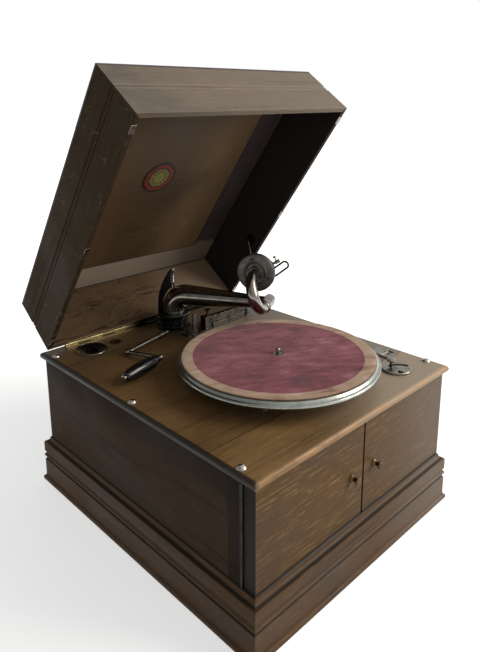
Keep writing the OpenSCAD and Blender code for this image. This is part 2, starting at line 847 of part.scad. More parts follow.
module governor() {
    color(brass)
        translate([gov_x, spindle_y, gov_z]) {
            rod_y(2, -46, 46);
            rod_y(worm_r, -10, 10);
            rod_y(5, 13, 17);
            rod_y(5, 35, 38);
            rod_y(12, 38.5, 40.5);
            for (a = [0:120:240])
                rotate([0, a, 0]) {
                    translate([9.5, 26, 0]) sphere(r = 4.5, $fn = 24);
                    translate([4.4, 15, -2]) cube([1, 21.5, 4]);
                    translate([4.4, 25, -1]) cube([3, 2, 2]);
                }
        }
}
bush_r = 8;
module winding_bush() {
    color(brass)
        translate([0, spindle_y + wind_dy, wind_z])
            difference() {
                union() {
                    rod_x(bush_r, inner_x, half_w + 1);
                    rod_x(14, half_w, half_w + 2);
                }
                rod_x(wind_r + 1.5, inner_x - 1, half_w + 5);
            }
}
module winding_shaft() {
    color(steel)
        translate([0, spindle_y + wind_dy, wind_z])
            difference() {
                union() {
                    rod_x(wind_r, -barrel_left - 20, inner_x);
                    rod_x(wind_r + 1.45, inner_x - 14, wind_end);
                    rod_x(wind_r + 1.2, -barrel_left - 14, -barrel_left + 14);
                }
                rod_x(crank_r + FIT, wind_end - 22, wind_end + 1);
            }
}

// Brake and stop gear behind the turntable
brake_x0 = 0;
brake_x1 = 162;
brake_y = half_d - 105;
brake_pivot = [6, brake_y - 4];
pad_reach = rim_r + 0.4;
pad_angle = 98;
module brake_bracket() {
    base = deck_z + 2;
    color(steel)
        difference() {
            union() {
                block(brake_x0, brake_x1, brake_y - 10, brake_y + 8, deck_z, base);
                block(20, 29, brake_y - 1, brake_y + 1.5, base - 0.5, deck_z + 35);
                block(44, 60, brake_y - 7, brake_y + 7, base - 0.5, deck_z + 24);
                block(60, 142, brake_y - 10, brake_y - 8, base - 0.5, deck_z + 10);
                block(148, 156, brake_y - 7, brake_y - 3, base - 0.5, deck_z + 16);
                translate([55, brake_y, 0]) {
                    rod_z(2, deck_z + 20, deck_z + 34);
                    rod_z(5.5, deck_z + 33, deck_z + 35.5);
                }
                translate([brake_pivot[0], brake_pivot[1], 0]) rod_z(4.5, base - 0.5, deck_z + 11);
                translate([brake_pivot[0], brake_pivot[1], 0]) rod_z(2, base, deck_z + 17);
                translate([brake_pivot[0], brake_pivot[1], 0]) rod_z(4, deck_z + 14.8, deck_z + 17);
                block(62, 140, brake_y - 6, brake_y + 2, deck_z + 10.5, deck_z + 23);
                block(59, 63, brake_y - 5, brake_y + 1, deck_z + 12, deck_z + 20);
                block(138, 150, brake_y - 5, brake_y - 3.5, deck_z + 11, deck_z + 15);
            }
            block(64, 141, brake_y - 4, brake_y + 3, deck_z + 8, deck_z + 21);
        }
}
module brake_lever() {
    pad_x = pad_reach * cos(pad_angle);
    pad_y = spindle_y + pad_reach * sin(pad_angle);
    z0 = deck_z + 11.3;
    run_x = pad_x - brake_pivot[0];
    run_y = pad_y + 5 - brake_pivot[1];
    len = norm([run_x, run_y]);
    color(black)
        union() {
            difference() {
                translate([brake_pivot[0], brake_pivot[1], 0])
                    rotate([0, 0, atan2(run_y, run_x)]) {
                        block(0, len, -4, 4, z0, z0 + 3);
                        rod_z(6.5, z0, z0 + 3);
                    }
                translate([brake_pivot[0], brake_pivot[1], 0]) rod_z(2 + FIT, z0 - 1, z0 + 5);
            }
            translate([0, spindle_y, 0])
                rotate([0, 0, pad_angle])
                    block(pad_reach, pad_reach + 6, -7, 7, z0, deck_z + 29);
        }
}

// Turntable
module turntable() {
    bead = 3;
    bead_z = platter_z - 6.5;
    color(nickel)
        translate([0, spindle_y, 0])
            rotate_extrude($fn = 128)
                polygon(concat(
                    [
                        [spindle_r + FIT, platter_z - 14], [14, platter_z - 14], [14, platter_z - 3],
                        [mat_r - 5, platter_z - 3], [mat_r - 1.5, platter_z - 4]
                    ],
                    arc(rim_r - bead, bead_z, bead, 205, 410, 12),
                    [[mat_r + 1.5, platter_z - 1.6], [mat_r, platter_z], [spindle_r + FIT, platter_z]]
                ));
}
module turntable_mat() {
    color(felt_red)
        translate([0, spindle_y, 0])
            rotate_extrude($fn = 128)
                polygon([
                    [washer_r + GAP, platter_z], [mat_r, platter_z], [mat_r, mat_z - 0.8],
                    [mat_r - 0.8, mat_z], [washer_r + GAP, mat_z]
                ]);
}

// Tone arm, swan neck and sound box
socket_z = arm_z + 19.5;
module tone_arm() {
    r0 = arm_r;
    i0 = arm_r - arm_wall;
    r1 = arm_tip_r;
    i1 = arm_tip_r - arm_wall;
    run = arm_len - elbow_r;
    color(nickel)
        at_arm()
            union() {
                pipe_z(r0, i0, deck_z + 4, arm_z - elbow_r);
                translate([elbow_r, 0, arm_z - elbow_r])
                    rotate([90, 0, 0])
                        rotate([0, 0, 90])
                            bent_pipe(r0, i0, elbow_r, 90);
                difference() {
                    union() {
                        translate([elbow_r, 0, arm_z]) rotate([0, 90, 0]) cylinder(r1 = r0, r2 = r1, h = run);
                        translate([arm_len, 0, arm_z]) rotate([90, 0, 0]) rotate_extrude() polygon(joint_barrel());
                    }
                    translate([elbow_r, 0, arm_z]) rotate([0, 90, 0]) cylinder(r1 = i0, r2 = i1, h = run);
                    translate([arm_len, 0, arm_z])
                        rotate([90, 0, 0])
                            rotate_extrude()
                                polygon([
                                    [0, 4 - barrel_back], [i1 + 0.5, 4 - barrel_back],
                                    [i1 + 0.5, joint_gap - 8], [neck_joint_r - 1.5, joint_gap - 4],
                                    [neck_joint_r - 1.5, joint_gap + 8], [0, joint_gap + 8]
                                ]);
                }
                rod_z(3.3, arm_z + 6, socket_z);
            }
}
neck_joint_r = neck_r - 1.5;
function joint_barrel() = concat(
    [[0, -barrel_back], [barrel_r - 4, -barrel_back]],
    [for (i = [1:4]) [barrel_r - 4 + 4 * sin(22.5 * i), 4 - barrel_back - 4 * cos(22.5 * i)]],
    [[barrel_r, joint_gap - 3], [barrel_r + 1, joint_gap - 3], [barrel_r + 1, joint_gap],
        [neck_joint_r, joint_gap], [neck_joint_r, joint_gap + 6], [0, joint_gap + 6]]
);
module at_neck() {
    at_arm()
        translate([arm_len, 0, arm_z])
            rotate([0, -neck_lift, 0])
                rotate([0, 0, -90])
                    children();
}
box_back = 18;
module pipe_x(r, bore, x0, x1) {
    rotate([0, 90, 0]) pipe_z(r, bore, x0, x1);
}
module gooseneck() {
    bore = neck_joint_r + FIT;
    color(nickel)
        at_neck()
            union() {
                pipe_x(arm_tip_r + 1, bore, joint_gap + GAP, joint_gap + 4);
                pipe_x(neck_r, bore, joint_gap + 4, neck_start);
                translate([neck_start, neck_bend, 0])
                    rotate([0, 0, -90])
                        bent_pipe(neck_r, bore, neck_bend, 180);
                translate([0, 2 * neck_bend, 0]) pipe_x(neck_r, bore, box_back, neck_start);
            }
}
module sound_box() {
    color(steel)
        at_neck()
            translate([0, 2 * neck_bend, 0])
                rotate([0, 90, 0])
                    rotate_extrude()
                        polygon([
                            [0, box_back - box_t + 4], [box_r - 6, box_back - box_t + 4],
                            [box_r - 6, box_back - box_t], [box_r - 1, box_back - box_t],
                            [box_r, box_back - box_t + 1], [box_r, box_back - 5],
                            [box_r - 1.5, box_back - 3.5], [20.5, box_back - 2.5], [20, box_back - 3.8],
                            [12.5, box_back - 3.2], [12, box_back - 0.01], [neck_r + 0.5, box_back - 0.01],
                            [0, box_back - 0.01]
                        ]);
}
module at_needle(angle) {
    at_neck()
        translate([0, 2 * neck_bend, 0])
            rotate([angle - neck_lift, 0, 0])
                children();
}
module needle_bar() {
    face = box_back - box_t;
    guard = box_r + 14;
    wire_r = 1.3;
    color(nickel) {
        at_needle(29)
            translate([face - 4, 0, 0]) {
                rod_y(1.8, -1, box_r + 9);
                block(-1.3, 8, -2.5, 2.5, -1.2, 1.2);
                block(-2.5, 4, box_r - 5, box_r - 1.5, -5, 5);
                rod_y(3.2, box_r + 2, box_r + 11);
                translate([0, box_r + 6, 0]) rod_z(1.4, 1, 10);
                translate([0, box_r + 6, 0]) rod_z(3.2, 8, 11);
            }
        at_needle(39)
            translate([face - wire_r, 0, -18.8]) {
                translate([0, 0, 6]) rod_y(wire_r, box_r - 5, guard);
                translate([0, 0, -6]) rod_y(wire_r, box_r - 12, guard);
                translate([0, guard, 0])
                    rotate([0, -90, 0])
                        rotate_extrude(angle = 180)
                            translate([6, 0]) circle(r = wire_r);
            }
    }
}

// Winding handle lying on the deck, tipped so that its grip and its sleeve both rest there
crank_turn = 14.7;
crank_end = [-18.5, half_d - 80];
crank_z = deck_z + crank_r + 1.8;
crank_tip = -asin((grip_r - crank_r - 1.6) / crank_throw);
module at_crank() {
    translate([crank_end[0], crank_end[1], crank_z])
        rotate([crank_tip, 0, crank_turn])
            children();
}
module at_grip() {
    at_crank() translate([-crank_shaft, -crank_throw, 0]) children();
}
module crank_rod() {
    boss = crank_r + 1.2;
    color(nickel) {
        at_crank() {
            rod_x(crank_r - FIT, -crank_shaft, 0);
            rod_x(crank_r + 1.6, -22, -14);
            translate([-crank_shaft, 0, 0]) sphere(r = boss);
            translate([-crank_shaft, 0, 0]) rod_y(crank_r - 0.8, -crank_throw, 0);
        }
        at_grip() {
            sphere(r = boss);
            rod_x(3, -grip_len - 8, 0);
            rod_x(5, -grip_len - 8.5, -grip_len - 5 + GAP);
        }
    }
}
module crank_grip() {
    first = -6;
    color(black)
        at_grip()
            rotate([0, -90, 0])
                rotate_extrude()
                    polygon([
                        [3 + FIT, -first], [5.5, -first], [6, -first + 3], [5.2, -first + 6],
                        [grip_r - 2, -first + 12], [grip_r - 0.6, grip_len * 0.35], [grip_r, grip_len * 0.6],
                        [grip_r - 1, grip_len * 0.85], [6.5, grip_len + 4], [3 + FIT, grip_len + 4]
                    ]);
}

// Lid, drawn shut about its hinge line and then opened
module on_lid() {
    translate([0, hinge_y, hinge_z])
        rotate([-lid_open, 0, 0])
            children();
}
module lid_wall_profile() {
    g = lid_groove_z;
    polygon([
        [0, 0], [0, g - 5.5], [1.6, g - 3.8], [0.4, g - 2.4], [0.4, g + 2.4], [1.6, g + 3.8], [0, g + 5.5],
        [0, lid_wall_h], [lid_wall_t, lid_wall_h], [lid_wall_t, 0]
    ]);
}
module lid_wall(half_len, off) {
    mitred(half_len, off, lid_wall_t + 1) lid_wall_profile();
}
module lid_front_board() {
    color(oak)
        on_lid() translate([0, -lid_len / 2, 0]) lid_wall(lid_half, lid_len / 2);
}
module lid_rear_board() {
    color(dark_oak)
        on_lid()
            difference() {
                translate([0, -lid_len / 2, 0]) rotate([0, 0, 180]) lid_wall(lid_half, lid_len / 2);
                rod_x(knuckle_r + 0.5, -lid_hinge_len / 2 - 1, lid_hinge_len / 2 + 1);
            }
}
module lid_side_boards() {
    color(dark_oak)
        on_lid()
            translate([0, -lid_len / 2, 0]) {
                rotate([0, 0, 90]) lid_wall(lid_len / 2, lid_half);
                rotate([0, 0, -90]) lid_wall(lid_len / 2, lid_half);
            }
}
module lid_border_profile() {
    inner = lid_wall_t + lid_border_w;
    top = lid_wall_h + lid_border_rise + lid_top_t;
    polygon(concat(
        [[0, lid_wall_h], [lid_wall_t, lid_wall_h], [inner, lid_wall_h + lid_border_rise], [inner, top]],
        arc(3, lid_wall_h + 2.5, 3, 90, 180, 4)
    ));
}
module lid_border() {
    depth = lid_wall_t + lid_border_w + 1;
    color(dark_oak)
        on_lid()
            translate([0, -lid_len / 2, 0]) {
                mitred(lid_half, lid_len / 2, depth) lid_border_profile();
                rotate([0, 0, 180]) mitred(lid_half, lid_len / 2, depth) lid_border_profile();
                rotate([0, 0, 90]) mitred(lid_len / 2, lid_half, depth) lid_border_profile();
                rotate([0, 0, -90]) mitred(lid_len / 2, lid_half, depth) lid_border_profile();
            }
}
panel_z = lid_wall_h + lid_border_rise;
module lid_panel() {
    edge = lid_wall_t + lid_border_w;
    color(dark_oak)
        on_lid()
            block(edge - lid_half, lid_half - edge, edge - lid_len, -edge, panel_z, panel_z + lid_top_t);
}
module lid_badge() {
    color("olive")
        on_lid()
            translate([-badge_left, -badge_from_hinge, 0])
                rod_z(badge_d / 2, panel_z - 0.5, panel_z);
}
module lid_rim_plates() {
    color(brass)
        on_lid()
            for (x = [-half_w + stud_inset, half_w - stud_inset], y = [stud_end - half_d, 0, half_d - stud_end])
                translate([x, y - hinge_y, 0])
                    intersection() {
                        block(-4, 4, -7, 7, -0.7, 0);
                        block(-lid_half - x, lid_half - x, -20, 20, -1, 1);
                    }
}
module knuckles(count, total, first) {
    step = total / count;
    for (i = [first:2:count - 1])
        translate([0, 0, i * step - total / 2]) children();
}
module lid_hinge_leaf() {
    step = lid_hinge_len / lid_knuckles;
    half = lid_hinge_len / 2;
    color(brass)
        on_lid()
            difference() {
                union() {
                    block(-half, half, -lid_wall_t, -knuckle_r - 0.4, -leaf_t, 0);
                    rotate([0, 90, 0])
                        knuckles(lid_knuckles, lid_hinge_len, 1) {
                            rod_z(knuckle_r, GAP / 2, step - GAP / 2);
                            block(0, leaf_t, -knuckle_r - 1, -1, GAP / 2, step - GAP / 2);
                        }
                }
                rod_x(1.5 + FIT, -half - 1, half + 1);
            }
}
module lid_hinge_fixed() {
    step = lid_hinge_len / lid_knuckles;
    half = lid_hinge_len / 2;
    color(brass) {
        block(-half, half, hinge_y - lid_wall_t, hinge_y + 1, deck_z, deck_z + leaf_t);
        translate([0, hinge_y, hinge_z]) {
            rotate([0, 90, 0])
                knuckles(lid_knuckles, lid_hinge_len, 0) {
                    rod_z(knuckle_r, GAP / 2, step - GAP / 2);
                    block(0, hinge_rise, -1.5, 1, GAP / 2, step - GAP / 2);
                }
            rod_x(1.5, -half, half);
        }
    }
}

// Lid stay
module stay_slot(z0, z1) {
    block(stay_x - stay_r - 0.6, stay_x + stay_r + 0.6, stay_y - 12, stay_y + 8, z0, z1);
}
stay_y = half_d - 105;
stay_pivot_y = hinge_y - stay_from_hinge * cos(lid_open) + stay_up * sin(lid_open);
stay_pivot_z = hinge_z + stay_from_hinge * sin(lid_open) + stay_up * cos(lid_open);
stay_lean = atan2(stay_pivot_y - stay_y, stay_pivot_z - deck_z + 6);
module stay_slot_plate() {
    color(brass)
        difference() {
            block(stay_x - 6, lid_in - 0.5, stay_y - 16, stay_y + 12, deck_z, deck_z + 1.2);
            stay_slot(deck_z - 1, deck_z + 3);
        }
}
module stay_bracket() {
    color(brass)
        on_lid()
            translate([0, -stay_from_hinge, stay_up]) {
                block(lid_in - 1.2, lid_in, -11, 8, -13, 7);
                rod_x(1.8, stay_x - 3.4, lid_in - 1);
                rod_x(3.6, stay_x - 3.4, stay_x - 1.8);
                rod_x(3.6, stay_x + 1.8, lid_in - 1);
            }
}
module stay_rod() {
    color(steel)
        translate([stay_x, stay_pivot_y, stay_pivot_z])
            rotate([-stay_lean, 0, 0])
                difference() {
                    union() {
                        rod_x(4.5, -1.5, 1.5);
                        rod_z(stay_r - 0.5, -stay_len, -2);
                        rod_z(stay_r, -stay_len, -stay_len + 4);
                    }
                    rod_x(1.8 + FIT, -3, 3);
                }
}

// Doors, the left one drawn and the right one its mirror image
door_axis_x = half_w + 0.6;
door_axis_y = door_back + leaf_joint / 2;
door_barrel_r = 2.4;
door_knuckles = 7;
door_h = door_z1 - door_z0;
module door_board() {
    difference() {
        block(-half_w, -door_split / 2, door_y, door_back, door_z0, door_z1);
        translate([-door_axis_x, door_axis_y, 0]) rod_z(door_barrel_r + GAP, door_z0 - 1, door_z1 + 1);
        translate([-knob_x, 0, knob_z]) rod_y(3 + FIT, door_y - 1, door_y + 12);
    }
}
module door_leaf() {
    step = door_h / door_knuckles;
    mid = (door_z0 + door_z1) / 2;
    difference() {
        union() {
            block(-door_axis_x + door_barrel_r + 0.4, -half_w + 18, door_back, door_back + 0.7, door_z0,
                door_z1);
            translate([-door_axis_x, door_axis_y, mid])
                knuckles(door_knuckles, door_h, 1) {
                    rod_z(door_barrel_r, GAP / 2, step - GAP / 2);
                    block(0.5, door_barrel_r + 1, -leaf_joint / 2, -leaf_joint / 2 + 0.7, GAP / 2,
                        step - GAP / 2);
                }
        }
        translate([-door_axis_x, door_axis_y, 0]) rod_z(1 + FIT, door_z0 - 1, door_z1 + 1);
    }
}
module door_hinge_side() {
    step = door_h / door_knuckles;
    mid = (door_z0 + door_z1) / 2;
    block(-door_axis_x + door_barrel_r + 0.4, -inner_x, frame_y - 0.7, frame_y, door_z0, door_z1);
    translate([-door_axis_x, door_axis_y, mid])
        knuckles(door_knuckles, door_h, 0) {
            rod_z(door_barrel_r, GAP / 2, step - GAP / 2);
            block(0.5, door_barrel_r + 1, leaf_joint / 2 - 0.7, leaf_joint / 2, GAP / 2, step - GAP / 2);
        }
    translate([-door_axis_x, door_axis_y, 0]) rod_z(1, door_z0, door_z1);
}
module door_hinge_fixed() {
    color(brass) {
        door_hinge_side();
        mirror([1, 0, 0]) door_hinge_side();
    }
}
module door_knob() {
    r = knob_d / 2;
    translate([-knob_x, door_y, knob_z])
        rotate([90, 0, 0])
            rotate_extrude()
                polygon([
                    [0, -11], [3, -11], [3, 0], [r - 0.4, 0], [r - 0.4, 1], [r - 1.4, 2], [2.7, 4], [2.7, 6.4],
                    [r - 1, 8.4], [r, 9.6], [r, 10.8], [r - 1, 12], [0, 12.4]
                ]);
}
module left_door() {
    color(oak) door_board();
}
module right_door() {
    color(oak) mirror([1, 0, 0]) door_board();
}
module left_door_leaf() {
    color(brass) door_leaf();
}
module right_door_leaf() {
    color(brass) mirror([1, 0, 0]) door_leaf();
}
module left_door_knob() {
    color(bronze) door_knob();
}
module right_door_knob() {
    color(bronze) mirror([1, 0, 0]) door_knob();
}

plinth_moulding();
bottom_board();
left_panel();
right_panel();
rear_panel();
mouth_frame();
front_sill();
deck_board();
deck_rails();
deck_studs();
horn_flare();
horn_throat();
arm_base();
arm_pivot_screw();
needle_cup();
needle_dish();
speed_plate();
coin_plate();
coin_chute();
coin_box();
motor_plate();
motor_frame();
motor_bolts();
brake_bracket();
winding_bush();
door_hinge_fixed();
lid_hinge_fixed();
stay_slot_plate();
lid_front_board();
lid_rear_board();
lid_side_boards();
lid_border();
lid_panel();
lid_badge();
lid_rim_plates();
lid_hinge_leaf();
stay_bracket();
stay_rod();
left_door();
left_door_leaf();
left_door_knob();
right_door();
right_door_leaf();
right_door_knob();
turntable();
turntable_mat();
spindle();
spring_barrel();
transfer_wheel();
governor();
winding_shaft();
crank_rod();
crank_grip();
tone_arm();
gooseneck();
sound_box();
needle_bar();
brake_lever();
speed_lever();
coin_lever();
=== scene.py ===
"""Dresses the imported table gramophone: fumed oak case, felt turntable, nickel tone arm and fittings."""
import math

import bmesh
import bpy
import numpy as np
from mathutils import Matrix, Vector


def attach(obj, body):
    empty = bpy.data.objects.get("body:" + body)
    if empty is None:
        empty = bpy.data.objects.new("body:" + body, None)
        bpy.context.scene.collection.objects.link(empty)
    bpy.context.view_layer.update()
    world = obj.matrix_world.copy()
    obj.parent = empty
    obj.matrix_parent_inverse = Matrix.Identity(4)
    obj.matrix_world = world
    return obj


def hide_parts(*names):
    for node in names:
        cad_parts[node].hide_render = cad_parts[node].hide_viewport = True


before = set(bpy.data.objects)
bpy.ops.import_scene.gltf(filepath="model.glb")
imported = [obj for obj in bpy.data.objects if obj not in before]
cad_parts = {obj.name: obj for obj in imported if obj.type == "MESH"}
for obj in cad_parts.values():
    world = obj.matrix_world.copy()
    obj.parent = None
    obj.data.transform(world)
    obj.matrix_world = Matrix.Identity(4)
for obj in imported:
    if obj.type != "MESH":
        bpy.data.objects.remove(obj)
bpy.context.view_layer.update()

MM = 0.001
scene = bpy.context.scene

# Sizes of the gramophone in millimetres, as in the part's own source
HALF_W, HALF_D = 210.0, 243.0
CASE_TOP, DECK_TOP = 222.0, 234.0
HINGE_Y, HINGE_Z, LID_OPEN = 235.8, 239.4, 54.1
LID_LEN, LID_HALF, LID_WALL, LID_HIGH = 476.6, 209.0, 8.0, 100.0
SPIN_Y, MAT_TOP = -85.0, 269.6
KNOB_X, KNOB_Z, BADGE_R = 26.0, 148.0, 32.0
CUP_X, CUP_Y = -149.0, 199.5
CRANK_LEN, CRANK_REACH = 104.0, 67.0
ARM_X, ARM_Y, ARM_Z, ARM_LEN, ARM_PARK = 16.5, 187.5, 296.5, 176.5, 61.2
NECK_LIFT, NECK_BEND, NECK_START = 107.6, 29.15, 30.0


# places
def shift(x, y, z):
    return Matrix.Translation((x, y, z))


def turn(axis, degrees):
    return Matrix.Rotation(math.radians(degrees), 4, axis)


AT_ARM = shift(ARM_X, ARM_Y, 0) @ turn("Z", -ARM_PARK)
AT_NECK = AT_ARM @ shift(ARM_LEN, 0, ARM_Z) @ turn("Y", -NECK_LIFT) @ turn("Z", -90)
ON_LID = shift(0, HINGE_Y, HINGE_Z) @ turn("X", -LID_OPEN)
HERE = Matrix.Identity(4)
LID_Y, LID_Z = np.array(ON_LID)[:3, 1], np.array(ON_LID)[:3, 2]


def at_needle(angle):
    """Frame on the sound box's axis, its second axis turned to angle above the arm's direction."""
    return AT_NECK @ shift(0, 2 * NECK_BEND, 0) @ turn("X", angle - NECK_LIFT)


def placed(points, place):
    """Points carried from a piece's own frame to the gramophone's."""
    m = np.array(place)
    return np.asarray(points, float).reshape(-1, 3) @ m[:3, :3].T + m[:3, 3]


# meshes
def quads(rows, cols, around=False, along=False):
    """The cells of a grid of points as rows of four corners; around joins the last column to the first, along
    the last row."""
    r = np.arange(rows if along else rows - 1)
    c = np.arange(cols if around else cols - 1)
    i, j = (g.ravel() for g in np.meshgrid(r, c, indexing="ij"))
    i2, j2 = (i + 1) % rows, (j + 1) % cols
    return np.stack([i * cols + j, i * cols + j2, i2 * cols + j2, i2 * cols + j], -1).tolist()


def finish_mesh(name, mesh, body, material, stands_for=(), crease=32.0, bevel=0.0, bevel_steps=2):
    """Joins doubled points, turns faces outwards, shades smooth between edges sharper than crease, and eases
    the edges."""
    bm = bmesh.new()
    bm.from_mesh(mesh)
    bmesh.ops.remove_doubles(bm, verts=bm.verts, dist=2e-6)
    bmesh.ops.recalc_face_normals(bm, faces=bm.faces)
    bm.to_mesh(mesh)
    bm.free()
    mesh.shade_smooth()
    mesh.set_sharp_from_angle(angle=math.radians(crease))
    piece = bpy.data.objects.new(name, mesh)
    scene.collection.objects.link(piece)
    mesh.materials.clear()
    mesh.materials.append(material)
    if bevel:
        ease = piece.modifiers.new("eased edges", "BEVEL")
        ease.width = bevel * MM
        ease.segments = bevel_steps
        ease.limit_method = "ANGLE"
        ease.angle_limit = math.radians(crease)
        ease.use_clamp_overlap = True
        ease.harden_normals = True
    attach(piece, body)
    if stands_for:
        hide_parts(*stands_for)
    return piece


def solid(name, points, faces, body, material, **how):
    """A piece from points in millimetres and faces as lists of point numbers."""
    mesh = bpy.data.meshes.new(name)
    mesh.from_pydata((np.asarray(points, float) * MM).tolist(), [], faces)
    mesh.update()
    return finish_mesh(name, mesh, body, material, **how)


def turned_points(profile, sides=96, place=HERE, ring=False):
    """Lathe work: each profile point (radius, height) swept round the frame's third axis. ring closes the
    profile on itself."""
    p = np.asarray(profile, float)
    a = np.linspace(0, 2 * np.pi, sides, endpoint=False)
    pts = np.stack(
        [p[:, :1] * np.cos(a), p[:, :1] * np.sin(a), np.repeat(p[:, 1:], sides, 1)], -1
    )
    return placed(pts, place), quads(len(p), sides, around=True, along=ring)


def tube_points(path, radii, normal, sides=32, place=HERE, caps=True):
    """A round tube along a flat path: a circle of its own radius at each path point, spanned by the path's
    plane normal and by the direction square to both that and the path."""
    path = np.asarray(path, float)
    radii = np.broadcast_to(np.asarray(radii, float), (len(path),))
    along = np.gradient(path, axis=0)
    along /= np.linalg.norm(along, axis=1, keepdims=True)
    n = np.asarray(normal, float)
    side = np.cross(along, n)
    side /= np.linalg.norm(side, axis=1, keepdims=True)
    a = np.linspace(0, 2 * np.pi, sides, endpoint=False)
    ring = np.cos(a)[None, :, None] * side[:, None, :] + np.sin(a)[None, :, None] * n
    pts = placed(path[:, None, :] + radii[:, None, None] * ring, place)
    faces = quads(len(path), sides, around=True)
    if caps:
        faces.append(list(range(sides))[::-1])
        faces.append([(len(path) - 1) * sides + i for i in range(sides)])
    return pts, faces


def arc(cx, cy, r, a0, a1, n):
    """n + 1 points (x, y) on a circle's arc, angles in degrees."""
    a = np.radians(np.linspace(a0, a1, n + 1))
    return np.stack([cx + r * np.cos(a), cy + r * np.sin(a)], -1)


def prism_points(outline, z0, z1, place=HERE):
    """A flat outline (x, y) raised from z0 to z1."""
    o = np.asarray(outline, float)
    n = len(o)
    pts = np.concatenate([np.c_[o, np.full(n, z0)], np.c_[o, np.full(n, z1)]])
    faces = quads(2, n, around=True) + [list(range(n))[::-1], list(range(n, 2 * n))]
    return placed(pts, place), faces


def box_points(x0, x1, y0, y1, z0, z1, place=HERE):
    return prism_points([(x0, y0), (x1, y0), (x1, y1), (x0, y1)], z0, z1, place)


def rod_points(radius, start, end, sides=32, place=HERE, ease=0.0):
    """A straight rod between two points, its ends eased by a small chamfer."""
    a, b = np.asarray(start, float), np.asarray(end, float)
    length = np.linalg.norm(b - a)
    w = Vector(b - a).normalized()
    m = place @ shift(*a) @ w.to_track_quat("Z", "Y").to_matrix().to_4x4()
    e = min(ease, radius * 0.9, length * 0.4)
    profile = [(0, 0), (radius - e, 0), (radius, e), (radius, length - e), (radius - e, length), (0, length)]
    return turned_points(profile, sides, m)


def together(*parts):
    """Several (points, faces) as one."""
    points, faces, base = [], [], 0
    for p, f in parts:
        points.append(np.asarray(p, float).reshape(-1, 3))
        faces += [[i + base for i in face] for face in f]
        base += len(points[-1])
    return np.concatenate(points), faces


def screw_points(at, place=HERE, r=3.0, high=1.4, slot_turn=30.0):
    """A round-headed screw: a domed head with a cut slot, made of two half domes either side of the slot's
    floor."""
    m = place @ shift(*at) @ turn("Z", slot_turn)
    slot = 0.16 * r
    a = np.radians(np.linspace(-90, 90, 13))
    t = np.linspace(0, 1, 5)
    parts = []
    for side in (0, 180):
        edge_x = slot + (r - slot) * np.cos(a)
        edge_y = r * np.sin(a) * 0.985
        rows = [np.c_[edge_x, edge_y, np.zeros(13)]]
        rows += [
            np.c_[slot + (edge_x - slot) * (1 - s), edge_y * (1 - s),
            np.full(13, high * math.sqrt(1 - (1 - s) ** 2))]
            for s in t
        ]
        back = [0, 12] + [13 * i + 12 for i in range(1, 6)] + [13 * i for i in range(5, 0, -1)]
        parts.append((placed(np.array(rows), m @ turn("Z", side)), quads(6, 13) + [back]))
    parts.append(turned_points([(0, high * 0.35), (r * 0.97, high * 0.2), (r * 0.97, -0.2), (0, -0.2)], 24,
        m))
    return together(*parts)


def fair_copy(node, body, material, crease=30.0, bevel=0.0, bevel_steps=2, grain=None):
    """A CAD node's own shape with its loose triangles joined, its flats made whole and its edges eased."""
    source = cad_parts[node].data
    bm = bmesh.new()
    bm.from_mesh(source)
    bmesh.ops.remove_doubles(bm, verts=bm.verts, dist=2e-6)
    bmesh.ops.dissolve_limit(bm, angle_limit=math.radians(0.3), verts=bm.verts, edges=bm.edges)
    mesh = bpy.data.meshes.new(node + "_dressed")
    bm.to_mesh(mesh)
    bm.free()
    piece = finish_mesh(mesh.name, mesh, body, material, (node,), crease, bevel, bevel_steps)
    if grain:
        lay_grain(piece, *grain)
    return piece


def lay_grain(piece, along, across, offset=(0, 0, 0)):
    """Writes each point's place in the board as the attribute grain: along the fibres, across the face, and
    through it."""
    mesh = piece.data
    co = np.empty(len(mesh.vertices) * 3, np.float32)
    mesh.vertices.foreach_get("co", co)
    x = np.asarray(along, float) / np.linalg.norm(along)
    y = np.asarray(across, float) / np.linalg.norm(across)
    frame_rows = np.stack([x, y, np.cross(x, y)])
    g = co.reshape(-1, 3) @ frame_rows.T + np.asarray(offset)
    mesh.attributes.new("grain", "FLOAT_VECTOR", "POINT").data.foreach_set("vector",
        g.astype(np.float32).ravel())


def mitred_frame(name, profile, half_x, half_y, body, material, stands_for, place=HERE):
    """Four mitred lengths round a rectangle: each profile point (inwards, up) runs along its side and stops
    at the mitre, so its ends lie that far inwards. Every length is closed, with its fibres along it."""
    p = np.asarray(profile, float)
    n = len(p)
    parts, grains = [], []
    for k, (half, off) in enumerate([(half_x, half_y), (half_y, half_x)] * 2):
        m = turn("Z", 90 * k)
        left = np.c_[p[:, 0] - half, p[:, 0] - off, p[:, 1]]
        right = np.c_[half - p[:, 0], p[:, 0] - off, p[:, 1]]
        pts = np.concatenate([left, right])
        faces = quads(2, n, around=True) + [list(range(n))[::-1], list(range(n, 2 * n))]
        parts.append((placed(pts, place @ m), faces))
        grains.append(pts * MM + np.array([0.37 * k, 0.11 * k, 0.05 * k]))
    points, faces = together(*parts)
    mesh = bpy.data.meshes.new(name)
    mesh.from_pydata((points * MM).tolist(), [], faces)
    mesh.update()
    g = np.concatenate(grains).astype(np.float32)
    mesh.attributes.new("grain", "FLOAT_VECTOR", "POINT").data.foreach_set("vector", g.ravel())
    inward = np.tile(p[:, 0] * MM, 8).astype(np.float32)
    mesh.attributes.new("inward", "FLOAT", "POINT").data.foreach_set("value", inward)
    bm = bmesh.new()
    bm.from_mesh(mesh)
    bmesh.ops.recalc_face_normals(bm, faces=bm.faces)
    bm.to_mesh(mesh)
    bm.free()
    mesh.shade_smooth()
    mesh.set_sharp_from_angle(angle=math.radians(30))
    piece = bpy.data.objects.new(name, mesh)
    scene.collection.objects.link(piece)
    mesh.materials.append(material)
    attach(piece, body)
    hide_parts(*stands_for)
    return piece


